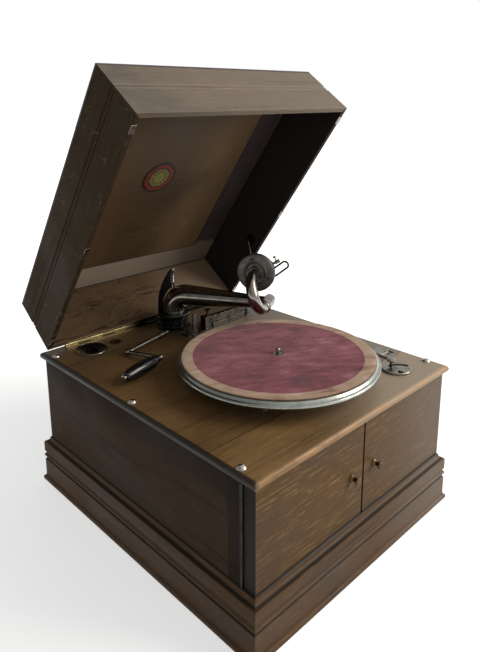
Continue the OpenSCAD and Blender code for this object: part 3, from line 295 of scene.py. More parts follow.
# materials
def linear(hex_colour):
    """sRGB hex to linear red, green, blue, alpha."""
    c = np.array([int(hex_colour[i : i + 2], 16) for i in (0, 2, 4)]) / 255
    lin = np.where(c <= 0.04045, c / 12.92, ((c + 0.055) / 1.055) ** 2.4)
    return (*lin.tolist(), 1.0)


def add_node(tree, kind, inputs=None, **settings):
    """Adds a node, sets its own properties, and sets or links its inputs."""
    made = tree.nodes.new(kind)
    for key, value in settings.items():
        setattr(made, key, value)
    for key, value in (inputs or {}).items():
        if isinstance(value, bpy.types.NodeSocket):
            tree.links.new(value, made.inputs[key])
        else:
            made.inputs[key].default_value = value
    return made


def blank(name, **shader_values):
    """A new material with its Principled shader, and that shader's constant values."""
    m = bpy.data.materials.new(name)
    m.use_nodes = True
    shader = m.node_tree.nodes["Principled BSDF"]
    for key, value in shader_values.items():
        shader.inputs[key.replace("_", " ")].default_value = value
    return m, m.node_tree, shader


def ramp(tree, factor, stops, mode="EASE"):
    """A colour ramp from (place, hex or grey) stops."""
    made = add_node(tree, "ShaderNodeValToRGB", {"Fac": factor})
    made.color_ramp.interpolation = mode
    elements = made.color_ramp.elements
    while len(elements) < len(stops):
        elements.new(0.5)
    for element, (place, colour) in zip(elements, stops):
        element.position = place
        element.color = linear(colour) if isinstance(colour, str) else (colour, colour, colour, 1.0)
    return made.outputs["Color"]


def between(tree, value, low, high, to_low=0.0, to_high=1.0, smooth=True):
    """A value carried from one range to another, and held at its ends."""
    kind = "SMOOTHSTEP" if smooth else "LINEAR"
    ends = {"Value": value, "From Min": low, "From Max": high, "To Min": to_low, "To Max": to_high}
    return add_node(tree, "ShaderNodeMapRange", ends, interpolation_type=kind).outputs["Result"]


def noise(tree, place, scale, detail=2.0, rough=0.5, bend=0.0):
    """Noise stretched by its own scale on each axis: a scale of 500 gives marks about 2 mm across."""
    at = add_node(tree, "ShaderNodeMapping", {"Vector": place, "Scale": scale}).outputs["Vector"]
    knobs = {"Vector": at, "Scale": 1.0, "Detail": detail, "Roughness": rough, "Distortion": bend}
    return add_node(tree, "ShaderNodeTexNoise", knobs).outputs["Fac"]


def math_of(tree, what, *values):
    return add_node(tree, "ShaderNodeMath", dict(enumerate(values)), operation=what).outputs["Value"]


def mixed(tree, factor, a, b):
    """Colour a going over to colour b; colours are sockets or hex."""
    a, b = (linear(c) if isinstance(c, str) else c for c in (a, b))
    return add_node(tree, "ShaderNodeMix", {"Factor": factor, 6: a, 7: b}, data_type="RGBA").outputs[2]


def thin_line(tree, field, level, width):
    """1 where a field passes through a level, 0 further off than width: the contour lines of the field."""
    off = math_of(tree, "ABSOLUTE", math_of(tree, "SUBTRACT", field, level))
    return between(tree, off, width * 0.35, width, 1.0, 0.0)


def fumed_oak(name, dark, ground, pale, lines=0.6, gap=2.4, pores=0.5, flecks=0.0, veins=0.0, figure=0.0,
              tints=(), facing=None, shaded_seams=(), nose=0.0, rough=0.5, sheen=0.15, coat=0.0):
    """Oak darkened by fuming and rubbed with shellac. The eye sees brown ground with broken paler lines of
    late wood, short dark pores, silky curved ray flecks on quarter-sawn faces, dark wavy veins on burr
    veneer, and greyer, drier patches."""
    m, tree, shader = blank(name, Specular_IOR_Level=sheen, Coat_Weight=coat, Coat_Roughness=0.3)
    grain = add_node(tree, "ShaderNodeAttribute", attribute_name="grain").outputs["Vector"]
    here = add_node(tree, "ShaderNodeTexCoord").outputs["Object"]
    # slow drift of the fibres, some 120 mm long and a few mm deep, so that no line is dead straight
    drift = add_node(tree, "ShaderNodeTexNoise", {"Vector": grain, "Scale": 8.0 + 14 * figure, "Detail": 2.0})
    depth = 0.008 + 0.05 * figure
    bend = add_node(tree, "ShaderNodeVectorMath", {0: drift.outputs["Color"], 1: (0.0, depth, depth)},
        operation="MULTIPLY")
    bent = add_node(tree, "ShaderNodeVectorMath", {0: grain, 1: bend.outputs["Vector"]},
        operation="ADD").outputs["Vector"]
    # growth bands about 11 mm apart and 300 mm long
    band = noise(tree, bent, (3.0, 90.0, 90.0), 3.0, 0.6)
    wood = ramp(tree, band, [(0.22, dark), (0.46, ground), (0.75, ground)])
    # late wood: pale lines a few mm apart and 90 mm long, broken every 20 mm or so
    late = between(tree, noise(tree, bent, (10.0, 1000 / gap, 1000 / gap), 3.0, 0.6), 0.52, 0.66)
    broken = between(tree, noise(tree, bent, (45.0, 160.0, 160.0), 2.0, 0.6), 0.4, 0.58)
    late = math_of(tree, "MULTIPLY", late, math_of(tree, "MULTIPLY", broken, lines))
    wood = mixed(tree, late, wood, pale)
    # pores are 0.3 mm wide in oak; drawn 1 mm wide and 12 mm long so that they show
    pits = between(tree, noise(tree, bent, (80.0, 950.0, 950.0)), 0.57, 0.7)
    wood = mixed(tree, math_of(tree, "MULTIPLY", pits, pores), wood, dark)
    if flecks:
        # silky rays: curved threads 1 mm wide and 30 mm long, leaning across the fibres, in patches
        turned = add_node(tree, "ShaderNodeMapping",
            {"Vector": grain, "Rotation": (0.0, 0.0, 0.5)}).outputs["Vector"]
        ray = thin_line(tree, noise(tree, turned, (60.0, 13.0, 13.0), 1.0, 0.4, 0.5), 0.5, 0.013)
        where = between(tree, noise(tree, grain, (20.0, 45.0, 45.0), 2.0), 0.5, 0.6)
        wood = mixed(tree, math_of(tree, "MULTIPLY", ray, math_of(tree, "MULTIPLY", where, flecks)), wood,
            pale)
    if veins:
        # burr veins: dark crooked contours 1 mm wide, some 25 mm apart
        field = noise(tree, bent, (16.0, 42.0, 42.0), 3.0, 0.55, 1.2)
        vein = math_of(tree, "MAXIMUM", thin_line(tree, field, 0.46, 0.016),
            thin_line(tree, field, 0.56, 0.012))
        wood = mixed(tree, math_of(tree, "MULTIPLY", vein, veins), wood, dark)
    # darker and paler patches some 130 mm across
    patch = add_node(tree, "ShaderNodeTexNoise",
        {"Vector": grain, "Scale": 8.0, "Detail": 5.0, "Roughness": 0.6}).outputs["Fac"]
    patches = ramp(tree, patch, [(0.3, 0.7), (0.5, 0.98), (0.72, 1.2)])
    wood = add_node(tree, "ShaderNodeVectorMath", {0: wood, 1: patches},
        operation="MULTIPLY").outputs["Vector"]
    split = add_node(tree, "ShaderNodeSeparateXYZ", {"Vector": here}).outputs
    # the same place, but wandering by 60 mm with the patches, so that a tint has no straight edge
    wander = math_of(tree, "MULTIPLY_ADD", patch, 0.12, -0.06)
    axes = {"X": split["X"], "Y": split["Y"], "Z": split["Z"],
        "off middle": math_of(tree, "ABSOLUTE", split["X"]),
        "about X": math_of(tree, "ADD", split["X"], wander),
        "about Z": math_of(tree, "ADD", split["Z"], wander)}
    # a tint growing from one place to another along an axis. These were fitted to how light or dark the photo
    # shows each region, so they hold the room's light and shade as well as any real fading or dirt: the photo
    # can't tell them apart. They lie on the object by place and stay the same from every side.
    side = 1.0
    if facing is not None:
        # the tints lie on one face of the board only
        out = add_node(tree, "ShaderNodeTexCoord").outputs["Normal"]
        toward = add_node(tree, "ShaderNodeVectorMath", {0: out, 1: tuple(facing)},
            operation="DOT_PRODUCT").outputs["Value"]
        side = between(tree, toward, 0.3, 0.5)
    for axis, begin, end, colour, amount in tints:
        spread = between(tree, axes[axis], begin, end, 0.0, amount)
        wood = mixed(tree, math_of(tree, "MULTIPLY", spread, side), wood, colour)
    # dark lines along an axis, or at a distance in from a frame's outer edge: painted shade in the joints,
    # gaps and grooves
    for axis, level, width in shaded_seams:
        field = axes[axis] if axis != "inward" else add_node(tree, "ShaderNodeAttribute",
            attribute_name="inward").outputs["Fac"]
        wood = mixed(tree, math_of(tree, "MULTIPLY", thin_line(tree, field, level, width), 0.85), wood,
            "0E0A07")
    if nose:
        # the front lip is rubbed through to golden wood, more in some places than in others
        lip = between(tree, math_of(tree, "MULTIPLY", axes["Y"], -1.0), 0.2442, 0.2485)
        rub = between(tree, noise(tree, grain, (25.0, 90.0, 90.0), 4.0, 0.65), 0.36, 0.62, 0.15, 1.0)
        wood = mixed(tree, math_of(tree, "MULTIPLY", lip, math_of(tree, "MULTIPLY", rub, nose)), wood,
            "B08450")
    tree.links.new(wood, shader.inputs["Base Color"])
    tree.links.new(between(tree, patch, 0.3, 0.7, rough - 0.08, rough + 0.1), shader.inputs["Roughness"])
    height = math_of(tree, "SUBTRACT", late, pits)
    bump = add_node(tree, "ShaderNodeBump",
        {"Strength": 0.3, "Distance": 0.00015, "Height": height}).outputs["Normal"]
    tree.links.new(bump, shader.inputs["Normal"])
    return m


def plated(name, colour, tarnish, rough=0.2, spread=0.16, spots=0.35, painted_shadow_end=""):
    """Old plated or polished metal: bright, with dull clouded patches and fine rubbing marks."""
    m, tree, shader = blank(name, Metallic=1.0)
    place = add_node(tree, "ShaderNodeTexCoord").outputs["Object"]
    cloud = noise(tree, place, (60.0, 60.0, 60.0), 5.0, 0.6)
    fine = noise(tree, place, (900.0, 900.0, 900.0))
    dull = between(tree, cloud, 0.42, 0.72, 0.0, spots)
    base = mixed(tree, dull, colour, tarnish)
    if painted_shadow_end:
        # painted shadow behind the arm's foot: darker from 60 mm left of the middle, fully from 30 mm left
        # onwards
        x = add_node(tree, "ShaderNodeSeparateXYZ", {"Vector": place}).outputs["X"]
        base = mixed(tree, between(tree, x, -0.06, -0.03, 0.0, 0.95), base, painted_shadow_end)
    tree.links.new(base, shader.inputs["Base Color"])
    tree.links.new(between(tree, cloud, 0.35, 0.7, rough, rough + spread), shader.inputs["Roughness"])
    bump = add_node(tree, "ShaderNodeBump",
        {"Strength": 0.12, "Distance": 0.00004, "Height": fine}).outputs["Normal"]
    tree.links.new(bump, shader.inputs["Normal"])
    return m


def coated(name, colour, dust, rough=0.2, coat=0.6, spots=0.3, level=0.25):
    """Stoved or varnished coating: deep, even colour under a clear skin, dulled by dust and handling."""
    m, tree, shader = blank(name, Coat_Weight=coat, Coat_Roughness=0.1, Specular_IOR_Level=level)
    place = add_node(tree, "ShaderNodeTexCoord").outputs["Object"]
    cloud = noise(tree, place, (45.0, 45.0, 45.0), 6.0, 0.65)
    fine = noise(tree, place, (700.0, 700.0, 700.0))
    tree.links.new(mixed(tree, between(tree, cloud, 0.5, 0.8, 0.0, spots), colour, dust),
        shader.inputs["Base Color"])
    tree.links.new(between(tree, cloud, 0.35, 0.7, rough, rough + 0.2), shader.inputs["Roughness"])
    bump = add_node(tree, "ShaderNodeBump",
        {"Strength": 0.1, "Distance": 0.00008, "Height": fine}).outputs["Normal"]
    tree.links.new(bump, shader.inputs["Normal"])
    return m


def wool_felt(name):
    """Pressed wool felt, wine red inside a bare tan border 17 mm wide, with matted streaks, worn pale patches
    and one darker stain towards the front."""
    m, tree, shader = blank(name, Roughness=0.95, Sheen_Weight=0.25, Sheen_Roughness=0.5,
        Specular_IOR_Level=0.15)
    place = add_node(tree, "ShaderNodeTexCoord").outputs["Object"]
    centred = add_node(tree, "ShaderNodeMapping",
        {"Vector": place, "Location": (0, -SPIN_Y * MM, -MAT_TOP * MM)}).outputs["Vector"]
    reach = add_node(tree, "ShaderNodeVectorMath", {0: centred}, operation="LENGTH").outputs["Value"]
    streaks = add_node(tree, "ShaderNodeMapping",
        {"Vector": centred, "Rotation": (0, 0, 0.5)}).outputs["Vector"]
    matted = noise(tree, streaks, (26.0, 90.0, 90.0), 6.0, 0.62, 0.5)
    cloud = noise(tree, centred, (16.0, 16.0, 16.0), 4.0, 0.6)
    tone = math_of(tree, "MULTIPLY", math_of(tree, "ADD", matted, cloud), 0.5)
    wine = ramp(tree, tone, [(0.36, "501824"), (0.47, "7A313D"), (0.56, "904854"), (0.68, "AE7680")])
    border = ramp(tree, tone, [(0.36, "8A6450"), (0.5, "B2947C"), (0.64, "C6AE96")])
    # a stain fading out over 26 mm, in front of the spindle and to its left
    stained = add_node(tree, "ShaderNodeMapping",
        {"Vector": centred, "Location": (0.046, 0.083, 0)}).outputs["Vector"]
    off = add_node(tree, "ShaderNodeVectorMath", {0: stained}, operation="LENGTH").outputs["Value"]
    wine = mixed(tree, between(tree, off, 0.006, 0.026, 0.6, 0.0), wine, "3E1E26")
    ragged = math_of(tree, "MULTIPLY_ADD", matted, 0.0016, reach)
    edge = between(tree, ragged, 0.1281, 0.1290)
    base = mixed(tree, edge, wine, border)
    # the felt's rounded edge and side are darker brown: painted shade
    base = mixed(tree, between(tree, reach, 0.1435, 0.1447, 0.0, 0.75), base, "4A3524")
    tree.links.new(base, shader.inputs["Base Color"])
    # wool fibres are 0.03 mm; drawn as 0.6 mm tufts
    fibre = noise(tree, place, (1600.0, 1600.0, 1600.0), 3.0, 0.7)
    tuft = math_of(tree, "MULTIPLY_ADD", matted, 1.6, fibre)
    bump = add_node(tree, "ShaderNodeBump",
        {"Strength": 0.6, "Distance": 0.0004, "Height": tuft}).outputs["Normal"]
    tree.links.new(bump, shader.inputs["Normal"])
    return m


def roundel(name):
    """A varnished paper roundel, generic: black outer line, red ring, yellow-green eight-sided ground with a
    ring of black marks round a plain centre."""
    m, tree, shader = blank(name, Roughness=0.45, Specular_IOR_Level=0.3)
    place = add_node(tree, "ShaderNodeAttribute", attribute_name="face").outputs["Vector"]
    reach = add_node(tree, "ShaderNodeVectorMath", {0: place}, operation="LENGTH").outputs["Value"]
    axes = add_node(tree, "ShaderNodeSeparateXYZ", {"Vector": place})
    angle = math_of(tree, "ARCTAN2", axes.outputs["Y"], axes.outputs["X"])
    # the eight-sided edge: a circle drawn in and out by 0.6 mm eight times round
    sides = math_of(tree, "COSINE", math_of(tree, "MULTIPLY", angle, 8.0))
    eight = math_of(tree, "MULTIPLY_ADD", sides, 0.02, reach)
    stops = [(0.0, "6E7038"), (0.2, "8A8A46"), (0.58, "7C7A3C"), (0.60, "14100E"), (0.66, "14100E"),
             (0.68, "7E2A20"), (0.86, "7E2A20"), (0.88, "0E0C0C"), (1.0, "0E0C0C")]
    base = ramp(tree, eight, stops, "LINEAR")
    # twelve black marks on a ring two fifths of the way out
    beat = math_of(tree, "COSINE", math_of(tree, "MULTIPLY", angle, 12.0))
    ring = between(tree, math_of(tree, "ABSOLUTE", math_of(tree, "SUBTRACT", reach, 0.4)), 0.05, 0.11, 1.0,
        0.0)
    mark = math_of(tree, "MULTIPLY", ring, between(tree, beat, -0.1, 0.3))
    base = mixed(tree, math_of(tree, "MULTIPLY", mark, 0.85), base, "15130C")
    wear = noise(tree, place, (5.0, 5.0, 5.0), 6.0)
    base = mixed(tree, between(tree, wear, 0.55, 0.75, 0.0, 0.4), base, "3A3020")
    tree.links.new(base, shader.inputs["Base Color"])
    return m


# the colours and tints were fitted until the render's regions came near the photo's
# painted sheen: greyer towards the right-hand end
PAINTED_SHEEN_RIGHT = ("X", 0.0, 0.2, "8A8076")
# doors: painted sheen greyer to the right, painted shade on their left end, and painted shade lines in the
# gaps at their foot and head
DOOR_OAK = fumed_oak("fumed oak, doors", "46341F", "5C452B", "A07E4E", lines=0.75, gap=1.3, pores=0.4,
    rough=0.5, sheen=0.14, tints=[(*PAINTED_SHEEN_RIGHT, 0.35), ("X", -0.2088, -0.2096, "0C0907", 0.95)],
    shaded_seams=[("Z", 0.0822, 0.002), ("Z", 0.221, 0.0016)])
# plinth: painted sheen greyer to the right, and painted shade lines in its grooves and steps and in the gap
# under the doors
PLINTH_OAK = fumed_oak("fumed oak, plinth", "38281A", "5A4430", "80663F", lines=0.5, gap=1.6, rough=0.5,
    tints=[(*PAINTED_SHEEN_RIGHT, 0.45)],
    shaded_seams=[("Z", 0.0402, 0.0022), ("Z", 0.0524, 0.0022), ("Z", 0.0725, 0.0014), ("Z", 0.0805, 0.0018)])
# shaded side: a ground darker than the doors' oak, darker still towards the top under the deck's lip and at
# the front end: painted shade
SIDE_OAK = fumed_oak("fumed oak, shaded side", "2C2014", "4A3B2C", "66523A", lines=0.45, gap=1.8, rough=0.6,
    sheen=0.1, tints=[("Z", 0.165, 0.215, "1A120B", 0.75), ("Y", -0.195, -0.2, "080605", 0.6)])
# deck: painted sheen greyer to the right, painted shade darker towards the back under the lid and on the left
# edge
DECK_OAK = fumed_oak("polished oak, deck", "48341A", "705534", "947446", lines=0.5, gap=1.8, nose=0.9,
    rough=0.42, sheen=0.3, coat=0.1,
    tints=[("X", 0.02, 0.2, "8C8175", 0.6), ("Y", 0.06, 0.2, "33281A", 0.75),
    ("X", -0.2095, -0.2125, "0E0A07", 0.9)])
# deck rails: painted sheen paler to the right, painted shade on the rear rail and the left edge, and painted
# shade lines at the board joints
RAIL_OAK = fumed_oak("polished oak, deck rails", "48341A", "785C38", "A07E4E", lines=0.6, gap=1.6, nose=0.9,
    rough=0.42, sheen=0.3, coat=0.1, shaded_seams=[("Y", -0.1665, 0.0018), ("Y", 0.1685, 0.0018)],
    tints=[("X", -0.1, 0.06, "B4A490", 0.55), ("Y", 0.1, 0.16, "4A3A26", 0.8),
    ("X", -0.2095, -0.2125, "0E0A07", 0.9)])
LID_FRONT_OAK = fumed_oak("polished oak, lid front", "5A4C3C", "776A5B", "978875", lines=0.4, gap=2.0,
    rough=0.5, sheen=0.25)
# lid sides: a ground darker than the doors' oak and near-black inner faces: painted shade
LID_SIDE_OAK = fumed_oak("quartered oak, lid side", "231A10", "40321F", "8C7A60", lines=0.2, gap=1.8,
    flecks=0.5, rough=0.6, sheen=0.08, tints=[("off middle", 0.2035, 0.2025, "363334", 0.95)])
# lid's inside: painted light, paler towards the right
LID_IN_OAK = fumed_oak("burr veneer, lid inside", "1E140B", "5A4734", "705A42", lines=0.2, veins=0.6,
    figure=0.35, tints=[("X", 0.0, 0.14, "B8A084", 0.6)], facing=-LID_Y, pores=0.2, rough=0.55)
# lid panel: painted light, paler towards its raised edge and towards both sides, warm amber on the left
PANEL_OAK = fumed_oak("figured oak, lid panel", "3A2C1E", "513F2E", "6E5840", lines=0.35, figure=0.06,
    gap=3.0, pores=0.35, rough=0.5, facing=-LID_Z,
    tints=[("about Z", 0.46, 0.62, "80705F", 0.7), ("about X", -0.02, -0.17, "8A6C46", 0.45),
    ("about X", 0.02, 0.15, "B0946E", 0.55)])
# lid border: painted light on the rear strip by the hinge, and painted shade lines where it meets the panel
# and the wall
BORDER_OAK = fumed_oak("oak border, lid inside", "3A3030", "5E5356", "6E6264", lines=0.3, gap=3.0, pores=0.35,
    rough=0.5, tints=[("Z", 0.36, 0.345, "9A8B7C", 0.9)], facing=-LID_Z,
    shaded_seams=[("inward", 0.0515, 0.0018), ("inward", 0.0086, 0.0022)])
CASE_IN_OAK = fumed_oak("bare oak, inside the case", "4E3E2C", "77634A", "917B5E", lines=0.5, rough=0.75)
NICKEL = plated("nickel plate, browned", "7E7971", "3C3833", rough=0.13, spread=0.14, spots=0.6)
RIM_NICKEL = plated("nickel plate, turntable rim", "9EA29A", "62655F", rough=0.22, spread=0.16, spots=0.5)
WHITE_NICKEL = plated("nickel plate, fittings", "8E8A80", "4E493F", rough=0.25, spread=0.2, spots=0.7)
BRIGHT_NICKEL = plated("nickel plate, rubbed bright", "B4AFA6", "6E685E", rough=0.14, spread=0.12, spots=0.5)
GREY_METAL = plated("oxidised nickel, sound box", "5E5C57", "3A3936", rough=0.42, spread=0.14, spots=0.6)
STEEL = plated("dull steel", "9A9892", "4A4640", rough=0.28, spread=0.2, spots=0.6)
BRACKET_STEEL = plated("blackened steel, brake bracket", "5C5954", "24211E", rough=0.22, spread=0.2,
    spots=0.8)
DARK_STEEL = plated("blued steel", "302E2B", "171615", rough=0.25, spread=0.2, spots=0.5)
BRASS = plated("brass, old polish", "A08650", "54431F", rough=0.3, spread=0.2, spots=0.7)
# the hinge brass carries a painted shadow behind the arm's foot
PALE_BRASS = plated("brass, pale and clean", "A89C76", "6E5F3E", rough=0.36, spread=0.15, spots=0.4,
    painted_shadow_end="1C1710")
BRONZE = plated("bronzed brass, knobs", "5A4A36", "221A13", rough=0.28, spread=0.2, spots=0.5)
TIN = plated("tinned sheet", "8F9091", "66645F", rough=0.4, spread=0.2, spots=0.5)
JAPAN = coated("black japan", "060607", "1A1816", rough=0.18, coat=0.3, spots=0.2)
DULL_JAPAN = coated("black japan, dull", "050505", "121110", rough=0.3, coat=0.0, spots=0.2, level=0.08)
BLACK_WOOD = coated("ebonised wood", "08080A", "201D1B", rough=0.2, coat=0.5, spots=0.15)
FELT = wool_felt("wool felt mat")
ROUNDEL = roundel("varnished paper roundel")

# case
plinth_foot, plinth_band, plinth_high = 14.0, 10.0, 81.0
rest = plinth_foot - plinth_band
top = plinth_high - 9.5
plinth_profile = np.concatenate([
    [(0, 0), (0, 3)],
    arc(rest, 3, rest, 180, 100, 8),
    [(rest, 12), (rest, 38), (rest + 1.8, 39.5), (rest + 1.8, 43)],
    arc(rest + 1.8, 46, 2.6, 270, 90, 10)[1:-1],
    [(rest + 1.8, 51), (rest, 54), (rest, top - 2), (rest + 0.8, top)],
    arc(rest + 1, top + 7, 7, 270, 340, 8),
    [(plinth_foot - 2.2, 79), (plinth_foot, 81), (plinth_foot, 40), (plinth_foot + 10, 40),
    (plinth_foot + 10, 0)],
])
mitred_frame("plinth", plinth_profile, HALF_W + plinth_foot, HALF_D + plinth_foot, "case", PLINTH_OAK,
    ["plinth_moulding"])
X, Y, Z = (1, 0, 0), (0, 1, 0), (0, 0, 1)
fair_copy("left_panel", "case", SIDE_OAK, bevel=0.5, grain=(Y, Z, (0.2, 0, 0)))
fair_copy("right_panel", "case", SIDE_OAK, bevel=0.5, grain=(Y, Z, (0.9, 0.4, 0)))
fair_copy("rear_panel", "case", SIDE_OAK, bevel=0.5, grain=(X, Z, (0.5, 0.2, 0)))
fair_copy("bottom_board", "case", CASE_IN_OAK, bevel=0.5, grain=(X, Y, (0.1, 0, 0)))
fair_copy("mouth_frame", "case", PLINTH_OAK, bevel=1.0, grain=(X, Z, (0.7, 0, 0)))
fair_copy("front_sill", "case", PLINTH_OAK, bevel=0.5, grain=(X, Z, (0.3, 0, 0)))
fair_copy("deck_board", "case", DECK_OAK, crease=28, bevel=0.4, grain=(X, Y, (0, 0.3, 0)))
fair_copy("deck_rails", "case", RAIL_OAK, crease=28, bevel=0.4, grain=(X, Y, (0.6, 0.1, 0.2)))
fair_copy("left_door", "left_door", DOOR_OAK, bevel=0.8, grain=(X, Z, (0, 0, 0)))
fair_copy("right_door", "right_door", DOOR_OAK, bevel=0.8, grain=(X, Z, (0, 0.004, 0)))

# lid
fair_copy("lid_front_board", "lid", LID_FRONT_OAK, bevel=0.7, grain=(X, LID_Z, (0.1, 0, 0)))
fair_copy("lid_rear_board", "lid", LID_IN_OAK, bevel=0.6, grain=(X, LID_Z, (0.8, 0, 0)))
fair_copy("lid_side_boards", "lid", LID_SIDE_OAK, bevel=0.7, grain=(LID_Y, LID_Z, (0.4, 0, 0)))
border_profile = np.concatenate([
    [(0, LID_HIGH), (LID_WALL, LID_HIGH), (52, 110), (52, 118)],
    arc(3, 102.5, 3, 90, 180, 8),
])
mitred_frame("lid_cant", border_profile, LID_HALF, LID_LEN / 2, "lid", BORDER_OAK, ["lid_border"],
    place=ON_LID @ shift(0, -LID_LEN / 2, 0))
fair_copy("lid_panel", "lid", PANEL_OAK, grain=(X, LID_Y, (0.2, 0.5, 0)))
badge_at = ON_LID @ shift(-16.4, -257, 110)
disc = np.linspace(0, BADGE_R, 9)
pts, faces = turned_points([(r, -0.7) for r in disc] + [(BADGE_R, 0)], 96, badge_at)
badge = solid("lid_roundel", pts, faces + [[8 * 96 + i + 96 for i in range(96)]], "lid", ROUNDEL,
    stands_for=["lid_badge"])
co = np.empty(len(badge.data.vertices) * 3, np.float32)
badge.data.vertices.foreach_get("co", co)
local = placed(co.reshape(-1, 3) / MM, badge_at.inverted()) / BADGE_R
local[:, 2] = 0
badge.data.attributes.new("face", "FLOAT_VECTOR", "POINT").data.foreach_set("vector",
    local.astype(np.float32).ravel())
fair_copy("lid_rim_plates", "lid", WHITE_NICKEL, crease=35, bevel=0.25, bevel_steps=1)
fair_copy("stay_bracket", "lid", PALE_BRASS, crease=35, bevel=0.25, bevel_steps=1)
fair_copy("lid_hinge_leaf", "lid", PALE_BRASS, crease=35, bevel=0.15, bevel_steps=1)
fair_copy("lid_hinge_fixed", "case", PALE_BRASS, crease=35, bevel=0.15, bevel_steps=1)
# the hinge's pin shows in the fine gaps between its knuckles
solid("hinge_pin", *rod_points(3.2, (-177, HINGE_Y, HINGE_Z), (177, HINGE_Y, HINGE_Z), 32), "case",
    PALE_BRASS, crease=40)
fair_copy("stay_slot_plate", "case", BRASS, bevel=0.3)
fair_copy("stay_rod", "stay", NICKEL, crease=40)

# hinges and knobs of the doors
for side in ("left", "right"):
    fair_copy(side + "_door_leaf", side + "_door", DARK_STEEL, crease=35)
    sign = -1 if side == "left" else 1
    knob = [(0, 0), (4.9, 0), (4.9, 0.9), (4.5, 1.4), (3.6, 2.2), (2.9, 3.2), (2.6, 4.4), (2.6, 6.2),
        (3.2, 7.5), (4.4, 8.6), (5.2, 9.5), (5.35, 10.2), (5.1, 11.1), (4.2, 11.9), (2.4, 12.3), (0, 12.4)]
    p, f = turned_points(np.array(knob) * (1.12, 1.0), 48,
        shift(sign * KNOB_X, -HALF_D, KNOB_Z) @ turn("X", 90))
    q, g = rod_points(3.0, (sign * KNOB_X, -HALF_D, KNOB_Z), (sign * KNOB_X, -HALF_D + 11, KNOB_Z))
    solid(side + "_knob", *together((p, f), (q, g)), side + "_door", BRONZE, stands_for=[side + "_door_knob"])
fair_copy("door_hinge_fixed", "case", DARK_STEEL, crease=35)

# horn
fair_copy("horn_flare", "case", CASE_IN_OAK, crease=20, grain=(X, Y, (0, 0, 0)))
fair_copy("horn_throat", "case", JAPAN, crease=40)

# turntable
spin = shift(0, SPIN_Y, 0)
rim = np.concatenate([
    [(4.55, 253), (14, 253), (14, 264), (139.9, 264), (143.4, 263)],
    arc(148.7, 260.5, 3, 205, 410, 26),
    [(147.6, 263.6), (146.4, 265.4), (145.6, 266.6), (144.9, 267), (4.55, 267)],
])
solid("turntable_plate", *turned_points(rim, 192, spin, ring=True), "turntable", RIM_NICKEL,
    stands_for=["turntable"], crease=38)
mat = np.concatenate([
    [(7.8, 267.0), (143.6, 267.0), (144.7, 267.3), (144.9, 268.2), (144.4, 269.2), (143.2, 269.6)],
    np.c_[np.linspace(138, 12, 14), 269.6 - 0.12 * np.sin(np.linspace(0, 9, 14)) ** 2],
    [(8.6, 269.5), (7.8, 269.0)],
])
solid("felt_mat", *turned_points(mat, 160, spin, ring=True), "turntable", FELT, stands_for=["turntable_mat"],
    crease=60)
fair_copy("spindle", "turntable", WHITE_NICKEL, crease=35, bevel=0.2, bevel_steps=1)
for node in ("spring_barrel", "transfer_wheel", "governor", "coin_lever"):
    fair_copy(node, node, BRASS, crease=35)
for node, body in (("motor_plate", "case"), ("motor_frame", "case"), ("motor_bolts", "case"),
        ("winding_shaft", "winding_shaft")):
    fair_copy(node, body, STEEL, crease=35, bevel=0.3, bevel_steps=1)
fair_copy("coin_chute", "case", TIN, crease=35)
fair_copy("coin_box", "case", TIN, crease=35, bevel=0.3)
fair_copy("winding_bush", "case", BRASS, crease=35, bevel=0.3)

# studs, cup, dish
stud = np.concatenate([[(0, 4.3), (1.2, 4.28)], arc(0, -2.8, 7.1, 72, 24, 8), [(6.5, 0.0), (0, 0)]])
parts = []
for x in (-205, 205):
    for y in (-216, 0, 216):
        parts.append(turned_points(stud, 40, shift(x, y, DECK_TOP)))
        parts.append(rod_points(2.0, (x, y, CASE_TOP + 2), (x, y, DECK_TOP + 0.5), 20))
solid("buffer_studs", *together(*parts), "case", BRIGHT_NICKEL, stands_for=["deck_studs"], crease=50)
cup = np.array([(0, 224), (12.5, 224), (12.5, 229.5), (24.5, 231), (24.5, 234), (27, 234), (27.2, 234.6),
    (26.8, 235.3), (25.8, 235.6), (24.8, 235.3), (24.2, 234.8), (18, 233.0), (12.2, 231.8), (11.2, 231.2),
    (11, 230.4), (11, 225.2), (0, 225.2)])
solid("needle_well", *turned_points(cup, 96, shift(CUP_X, CUP_Y, 0)), "case", DARK_STEEL,
    stands_for=["needle_cup"], crease=40)
lip = turned_points(arc(25.9, 235.0, 0.8, 0, 360, 16)[:-1], 96, shift(CUP_X, CUP_Y, 0), ring=True)
solid("needle_well_lip", *lip, "case", BRIGHT_NICKEL, crease=60)
fair_copy("needle_dish", "case", BRONZE, crease=30)

# tone arm
bearing = [(17.5, 234), (30, 234), (30.4, 235), (30, 236.6), (27, 237.6), (25, 239), (24.5, 242), (24.5, 245),
    (25.9, 246.2), (24.5, 247.4), (24.5, 252), (25.9, 253.2), (24.5, 254.4), (25, 256), (28.2, 258.2),
    (28.9, 259.4), (28.9, 262), (28.2, 262.9), (26, 263), (19.2, 263), (19.05, 238), (17.5, 238)]
t = np.linspace(0, 1, 20)
outer = np.c_[-29.5 + 26 * t * t, 273 + 70 * t]
inner = arc(26, 270.5, 48, 180, 128.4, 12)
fin = np.concatenate([[(-22, 258), (-29.5, 261)], outer, [(0, 343), (0, 335), (-3.8, 335)], inner[::-1],
    [(-21, 270.5), (-21, 263)]])
fin_piece = prism_points(fin, 0, 8, AT_ARM @ shift(0, 4, 0) @ turn("X", 90))
boss = rod_points(3.9, (0, 0, 335), (0, 0, 341), 32, AT_ARM, ease=0.6)
solid("arm_bearing", *together(turned_points(bearing, 96, AT_ARM, ring=True), boss), "case", JAPAN,
    stands_for=["arm_base"], crease=40)
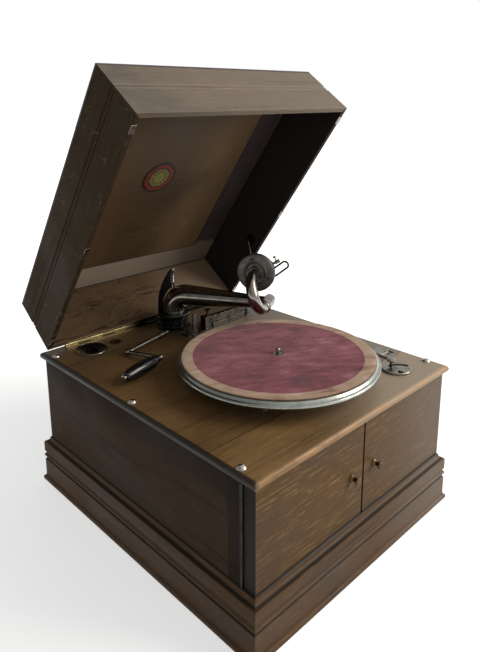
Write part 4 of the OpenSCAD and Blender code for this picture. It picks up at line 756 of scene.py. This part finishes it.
solid("arm_gallows", *fin_piece, "case", DULL_JAPAN, crease=35, bevel=1.2, bevel_steps=3)
thread = np.c_[np.where(np.arange(24) % 2, 1.9, 2.3), 320 + np.arange(24) * 0.56]
screw = np.concatenate([[(0, 316.1), (2.3, 318.5)], thread,
    [(2.3, 334), (2.3, 343), (3.3, 343), (3.4, 344.2), (2.8, 345), (0, 345.2)]])
solid("pivot_screw", *turned_points(screw, 32, AT_ARM), "case", BRIGHT_NICKEL, stands_for=["arm_pivot_screw"],
    crease=25)
s = np.linspace(0, 1, 40)
elbow = arc(26, 270.5, 26, 180, 90, 22)
rise = np.concatenate([[(0, 238), (0, 240), (0, 256)], elbow,
    np.c_[26 + (ARM_LEN - 26) * s[1:], np.full(39, ARM_Z)]])
grow = np.concatenate([[18.8, 19, 19], np.full(len(elbow), 19.0), 19 - 9 * s[1:]])
path = np.c_[rise[:, 0], np.zeros(len(rise)), rise[:, 1]]
main = tube_points(path, grow, (0, 1, 0), 64, AT_ARM, caps=False)
across = AT_ARM @ shift(ARM_LEN, 0, ARM_Z) @ turn("X", 90)
barrel = turned_points(np.concatenate([
    [(0, -19)], arc(6.75, -15, 4, -90, 0, 8),
    [(10.75, 20.6), (11.2, 21), (11.7, 21.6), (11.8, 22.6), (11.6, 23.6), (11.1, 24), (8, 24), (8, 29.9),
    (0, 29.9)],
]), 64, across)
bead = turned_points(np.concatenate([arc(19.0, 266, 1.1, -90, 90, 8), [(18.4, 267.1), (18.4, 264.9)]]), 64,
    AT_ARM, ring=True)
socket = turned_points([(0, 316), (2.7, 316), (3.3, 315.4), (3.3, 303), (0, 303)], 32, AT_ARM)
solid("tone_arm_tube", *together(main, barrel, bead, socket), "tone_arm", NICKEL, stands_for=["tone_arm"],
    crease=40)

# swan neck and sound box
u_turn = arc(NECK_START, NECK_BEND, NECK_BEND, -90, 90, 40)
neck = np.concatenate([[(24.5, 0), (26, 0), (28, 0)], u_turn, [(24, 2 * NECK_BEND), (18.2, 2 * NECK_BEND)]])
swell = np.interp(np.arange(len(neck)), [0, 3, 24, 43, 45], [9.5, 9.6, 9.4, 8.6, 8.4])
neck_tube = tube_points(np.c_[neck, np.zeros(len(neck))], swell, (0, 0, 1), 48, AT_NECK)
ring = turned_points([(8, 24.3), (10.6, 24.3), (11.1, 24.8), (11.2, 25.8), (11.0, 26.9), (10.3, 27.8),
    (8, 28)], 64, AT_NECK @ turn("Y", 90), ring=True)
solid("swan_neck", *together(neck_tube, ring), "sound_head", NICKEL, stands_for=["gooseneck"], crease=40)
box_place = AT_NECK @ shift(0, 2 * NECK_BEND, 0) @ turn("Y", 90)
shell = [(0, 8.4), (22, 8.4), (25.8, 7.2), (26.6, 5.2), (27.2, 4.2), (31.6, 4.0), (32.7, 4.7), (33, 5.8),
    (33, 7.2), (32.5, 7.6), (32.5, 8.2), (33, 8.6), (33, 12.6), (32.4, 13.6), (31.2, 14.2), (27, 14.7),
    (21.4, 15.1), (20.2, 15.3), (19.3, 16.0), (18.3, 16.2), (17.5, 15.8), (17.0, 14.8), (16, 14.5),
    (12.6, 15.0), (11.6, 16.6), (11.2, 18.0), (0, 18.0)]
solid("sound_box_shell", *turned_points(shell, 96, box_place), "sound_head", GREY_METAL,
    stands_for=["sound_box"], crease=32)
screws = [screw_points((24.5 * math.cos(a), 24.5 * math.sin(a), 14.8), box_place, r=1.9,
    high=0.9) for a in np.radians([-35, 85, 205])]
solid("sound_box_screws", *together(*screws), "sound_head", DARK_STEEL, crease=40)
bar = at_needle(29)
parts = [
    tube_points([(0, -1, 0), (0, 10, 0), (0, 28, 0), (0, 42, 0)], [1.2, 1.5, 1.9, 2.1], (1, 0, 0), 24, bar),
    box_points(-1.2, 8, -2.4, 2.4, -1.2, 1.2, bar),
    box_points(-2.4, 4, 28, 31.4, -5, 5, bar),
    rod_points(3.2, (0, 35, 0), (0, 44, 0), 32, bar, ease=0.6),
    rod_points(1.4, (0, 39, 1), (0, 39, 9), 20, bar),
    rod_points(3.2, (0, 39, 8), (0, 39, 11), 24, bar, ease=0.6),
]
solid("stylus_bar", *together(*parts), "sound_head", NICKEL, stands_for=["needle_bar"], crease=38)
guard = at_needle(39)
loop = np.concatenate([[(28, 6), (40, 6)], arc(47, 0, 6, 90, -90, 20), [(36, -6), (21, -6)]])
loop = np.c_[np.full(len(loop), 2.7), loop[:, 0], loop[:, 1] - 18.8]
solid("needle_guard", *tube_points(loop, 1.7, (1, 0, 0), 20, guard), "sound_head", DARK_STEEL, crease=50)

# deck fittings
fair_copy("speed_plate", "case", WHITE_NICKEL, crease=35, bevel=0.5)
fair_copy("speed_lever", "speed_lever", WHITE_NICKEL, crease=35)
fair_copy("coin_plate", "case", WHITE_NICKEL, crease=35, bevel=0.4)
fair_copy("brake_bracket", "case", BRACKET_STEEL, crease=35, bevel=0.7)
fair_copy("brake_lever", "brake", STEEL, crease=35, bevel=0.4)

# winding handle
tip = -math.asin(5.4 / CRANK_REACH)
AT_CRANK = shift(-18.5, 163, 239.8) @ turn("Z", 14.7) @ Matrix.Rotation(tip, 4, "X")
ball = np.concatenate([[(0, -5.2)], arc(0, 0, 5.2, -80, 80, 14), [(0, 5.2)]])
parts = [
    tube_points([(-CRANK_LEN, 0, 0), (-60, 0, 0), (0, 0, 0)], 3.95, (0, 0, 1), 32, AT_CRANK),
    turned_points([(3.8, -22), (5.0, -22), (5.6, -21.4), (5.6, -14.6), (5.0, -14), (3.8, -14)], 40,
    AT_CRANK @ turn("Y", 90), ring=True),
    rod_points(3.2, (-CRANK_LEN, 0, 0), (-CRANK_LEN, -CRANK_REACH, 0), 32, AT_CRANK),
    *(turned_points(ball, 32, AT_CRANK @ shift(-CRANK_LEN, y, 0)) for y in (0, -CRANK_REACH)),
    rod_points(3.0, (-CRANK_LEN, -CRANK_REACH, 0), (-190, -CRANK_REACH, 0), 24, AT_CRANK),
    rod_points(5.0, (-186.8, -CRANK_REACH, 0), (-190.5, -CRANK_REACH, 0), 32, AT_CRANK, ease=0.8),
]
solid("handle_rod", *together(*parts), "crank", NICKEL, stands_for=["crank_rod"], crease=40)
grip_place = AT_CRANK @ shift(-CRANK_LEN, -CRANK_REACH, 0) @ turn("Y", -90)
grip = [(3.05, 11), (5.2, 11.4), (7.4, 13.5), (9, 18), (9.9, 22), (10.5, 28), (10.9, 38), (11, 47),
    (10.8, 56), (10.2, 65), (8.9, 73), (7.3, 79), (6.5, 81.5), (5.6, 82), (3.05, 82)]
solid("handle_grip", *turned_points(grip, 64, grip_place, ring=True), "crank_grip", BLACK_WOOD,
    stands_for=["crank_grip"], crease=50)
ferrule = [(3.05, 6), (5.2, 6), (5.7, 6.6), (6.0, 9), (5.7, 10.6), (5.2, 11.9), (3.05, 11.9)]
solid("handle_ferrule", *turned_points(ferrule, 48, grip_place, ring=True), "crank_grip", DARK_STEEL,
    crease=50)


# room, light and camera
def seen_rays(tree):
    """1 for the rays that look for the background: the camera's own, mirrored and let through ones."""
    rays = add_node(tree, "ShaderNodeLightPath")
    seen = math_of(tree, "MAXIMUM", rays.outputs["Is Camera Ray"], rays.outputs["Is Glossy Ray"])
    return rays, math_of(tree, "MAXIMUM", seen, rays.outputs["Is Transmission Ray"])


def white_floor(name):
    """A matt table top: grey for the light it throws back on the object, white where it is seen, and fully
    white further off, so that no horizon shows. The object's shadow stays on it."""
    m, tree, shader = blank(name, Roughness=1.0, Specular_IOR_Level=0.0)
    rays, seen = seen_rays(tree)
    tree.links.new(mixed(tree, seen, "8C8A86", "F6F6F6"), shader.inputs["Base Color"])
    here = add_node(tree, "ShaderNodeTexCoord").outputs["Object"]
    far = add_node(tree, "ShaderNodeVectorMath", {0: here}, operation="LENGTH").outputs["Value"]
    shader.inputs["Emission Color"].default_value = (1, 1, 1, 1)
    lift = math_of(tree, "MULTIPLY", seen, between(tree, far, 0.5, 1.6, 0.5, 1.0))
    tree.links.new(lift, shader.inputs["Emission Strength"])
    return m


floor_mesh = bpy.data.meshes.new("table_top")
floor_mesh.from_pydata([(-12, -12, -0.0002), (12, -12, -0.0002), (12, 12, -0.0002), (-12, 12, -0.0002)], [],
    [(0, 1, 2, 3)])
floor = bpy.data.objects.new("table_top", floor_mesh)
scene.collection.objects.link(floor)
floor_mesh.materials.append(white_floor("white paper floor"))

# the world is white to the camera; mirrored rays see it whiter towards the window; its light on the object is
# plain
world = bpy.data.worlds.new("white room")
scene.world = world
world.use_nodes = True
sky = world.node_tree
background = sky.nodes["Background"]
rays, seen = seen_rays(sky)
way = add_node(sky, "ShaderNodeTexCoord").outputs["Generated"]
side = add_node(sky, "ShaderNodeVectorMath", {0: way, 1: (0.7, -0.7, 0.0)},
    operation="DOT_PRODUCT").outputs["Value"]
mirrored = between(sky, side, -0.6, 0.7, 0.35, 1.0)
level = add_node(sky, "ShaderNodeMix", {"Factor": seen, 2: 0.38, 3: mirrored}).outputs[0]
level = math_of(sky, "MAXIMUM", level, rays.outputs["Is Camera Ray"])
sky.links.new(level, background.inputs["Strength"])
background.inputs["Color"].default_value = (1, 1, 1, 1)


def lamp(name, at, look_at, size, watts, colour):
    """A square soft light at a place, turned to a point; sizes in metres."""
    data = bpy.data.lights.new(name, "AREA")
    data.shape = "SQUARE"
    data.size = size
    data.energy = watts
    data.color = linear(colour)[:3]
    light = bpy.data.objects.new(name, data)
    scene.collection.objects.link(light)
    aim = (Vector(look_at) - Vector(at)).to_track_quat("-Z", "Y")
    light.matrix_world = Matrix.Translation(at) @ aim.to_matrix().to_4x4()


lamp("window", (2.0, -2.1, 1.7), (0, 0, 0.2), 2.0, 90, "FFF9F0")

# the camera was solved from the case's corners: its place in mm, its turns in degrees, its lens and centre in
# pixels
EYE, EYE_TURNS = (-633.7, -656.6, 641.6), (44.166, 13.016, -0.233)
FOCAL, CENTRE_ROW, ROWS, SENSOR = 609.8, 239.5, 652, 36
camera_data = bpy.data.cameras.new("camera")
camera = bpy.data.objects.new("camera", camera_data)
scene.collection.objects.link(camera)
yaw, pitch, roll = (math.radians(a) for a in EYE_TURNS)
forward = Vector((math.sin(yaw) * math.cos(pitch), math.cos(yaw) * math.cos(pitch), -math.sin(pitch)))
right = Vector((math.cos(yaw), -math.sin(yaw), 0))
up = right.cross(forward)
right, up = math.cos(roll) * right + math.sin(roll) * up, -math.sin(roll) * right + math.cos(roll) * up
facing = Matrix((right, up, -forward)).transposed().to_4x4()
camera.matrix_world = Matrix.Translation(Vector(EYE) * MM) @ facing
camera_data.sensor_width = SENSOR
camera_data.lens = FOCAL / ROWS * SENSOR
camera_data.shift_x = 0.0
camera_data.shift_y = (CENTRE_ROW - ROWS / 2) / ROWS
camera_data.clip_start = 0.01
scene.camera = camera
scene.view_settings.view_transform = "Standard"
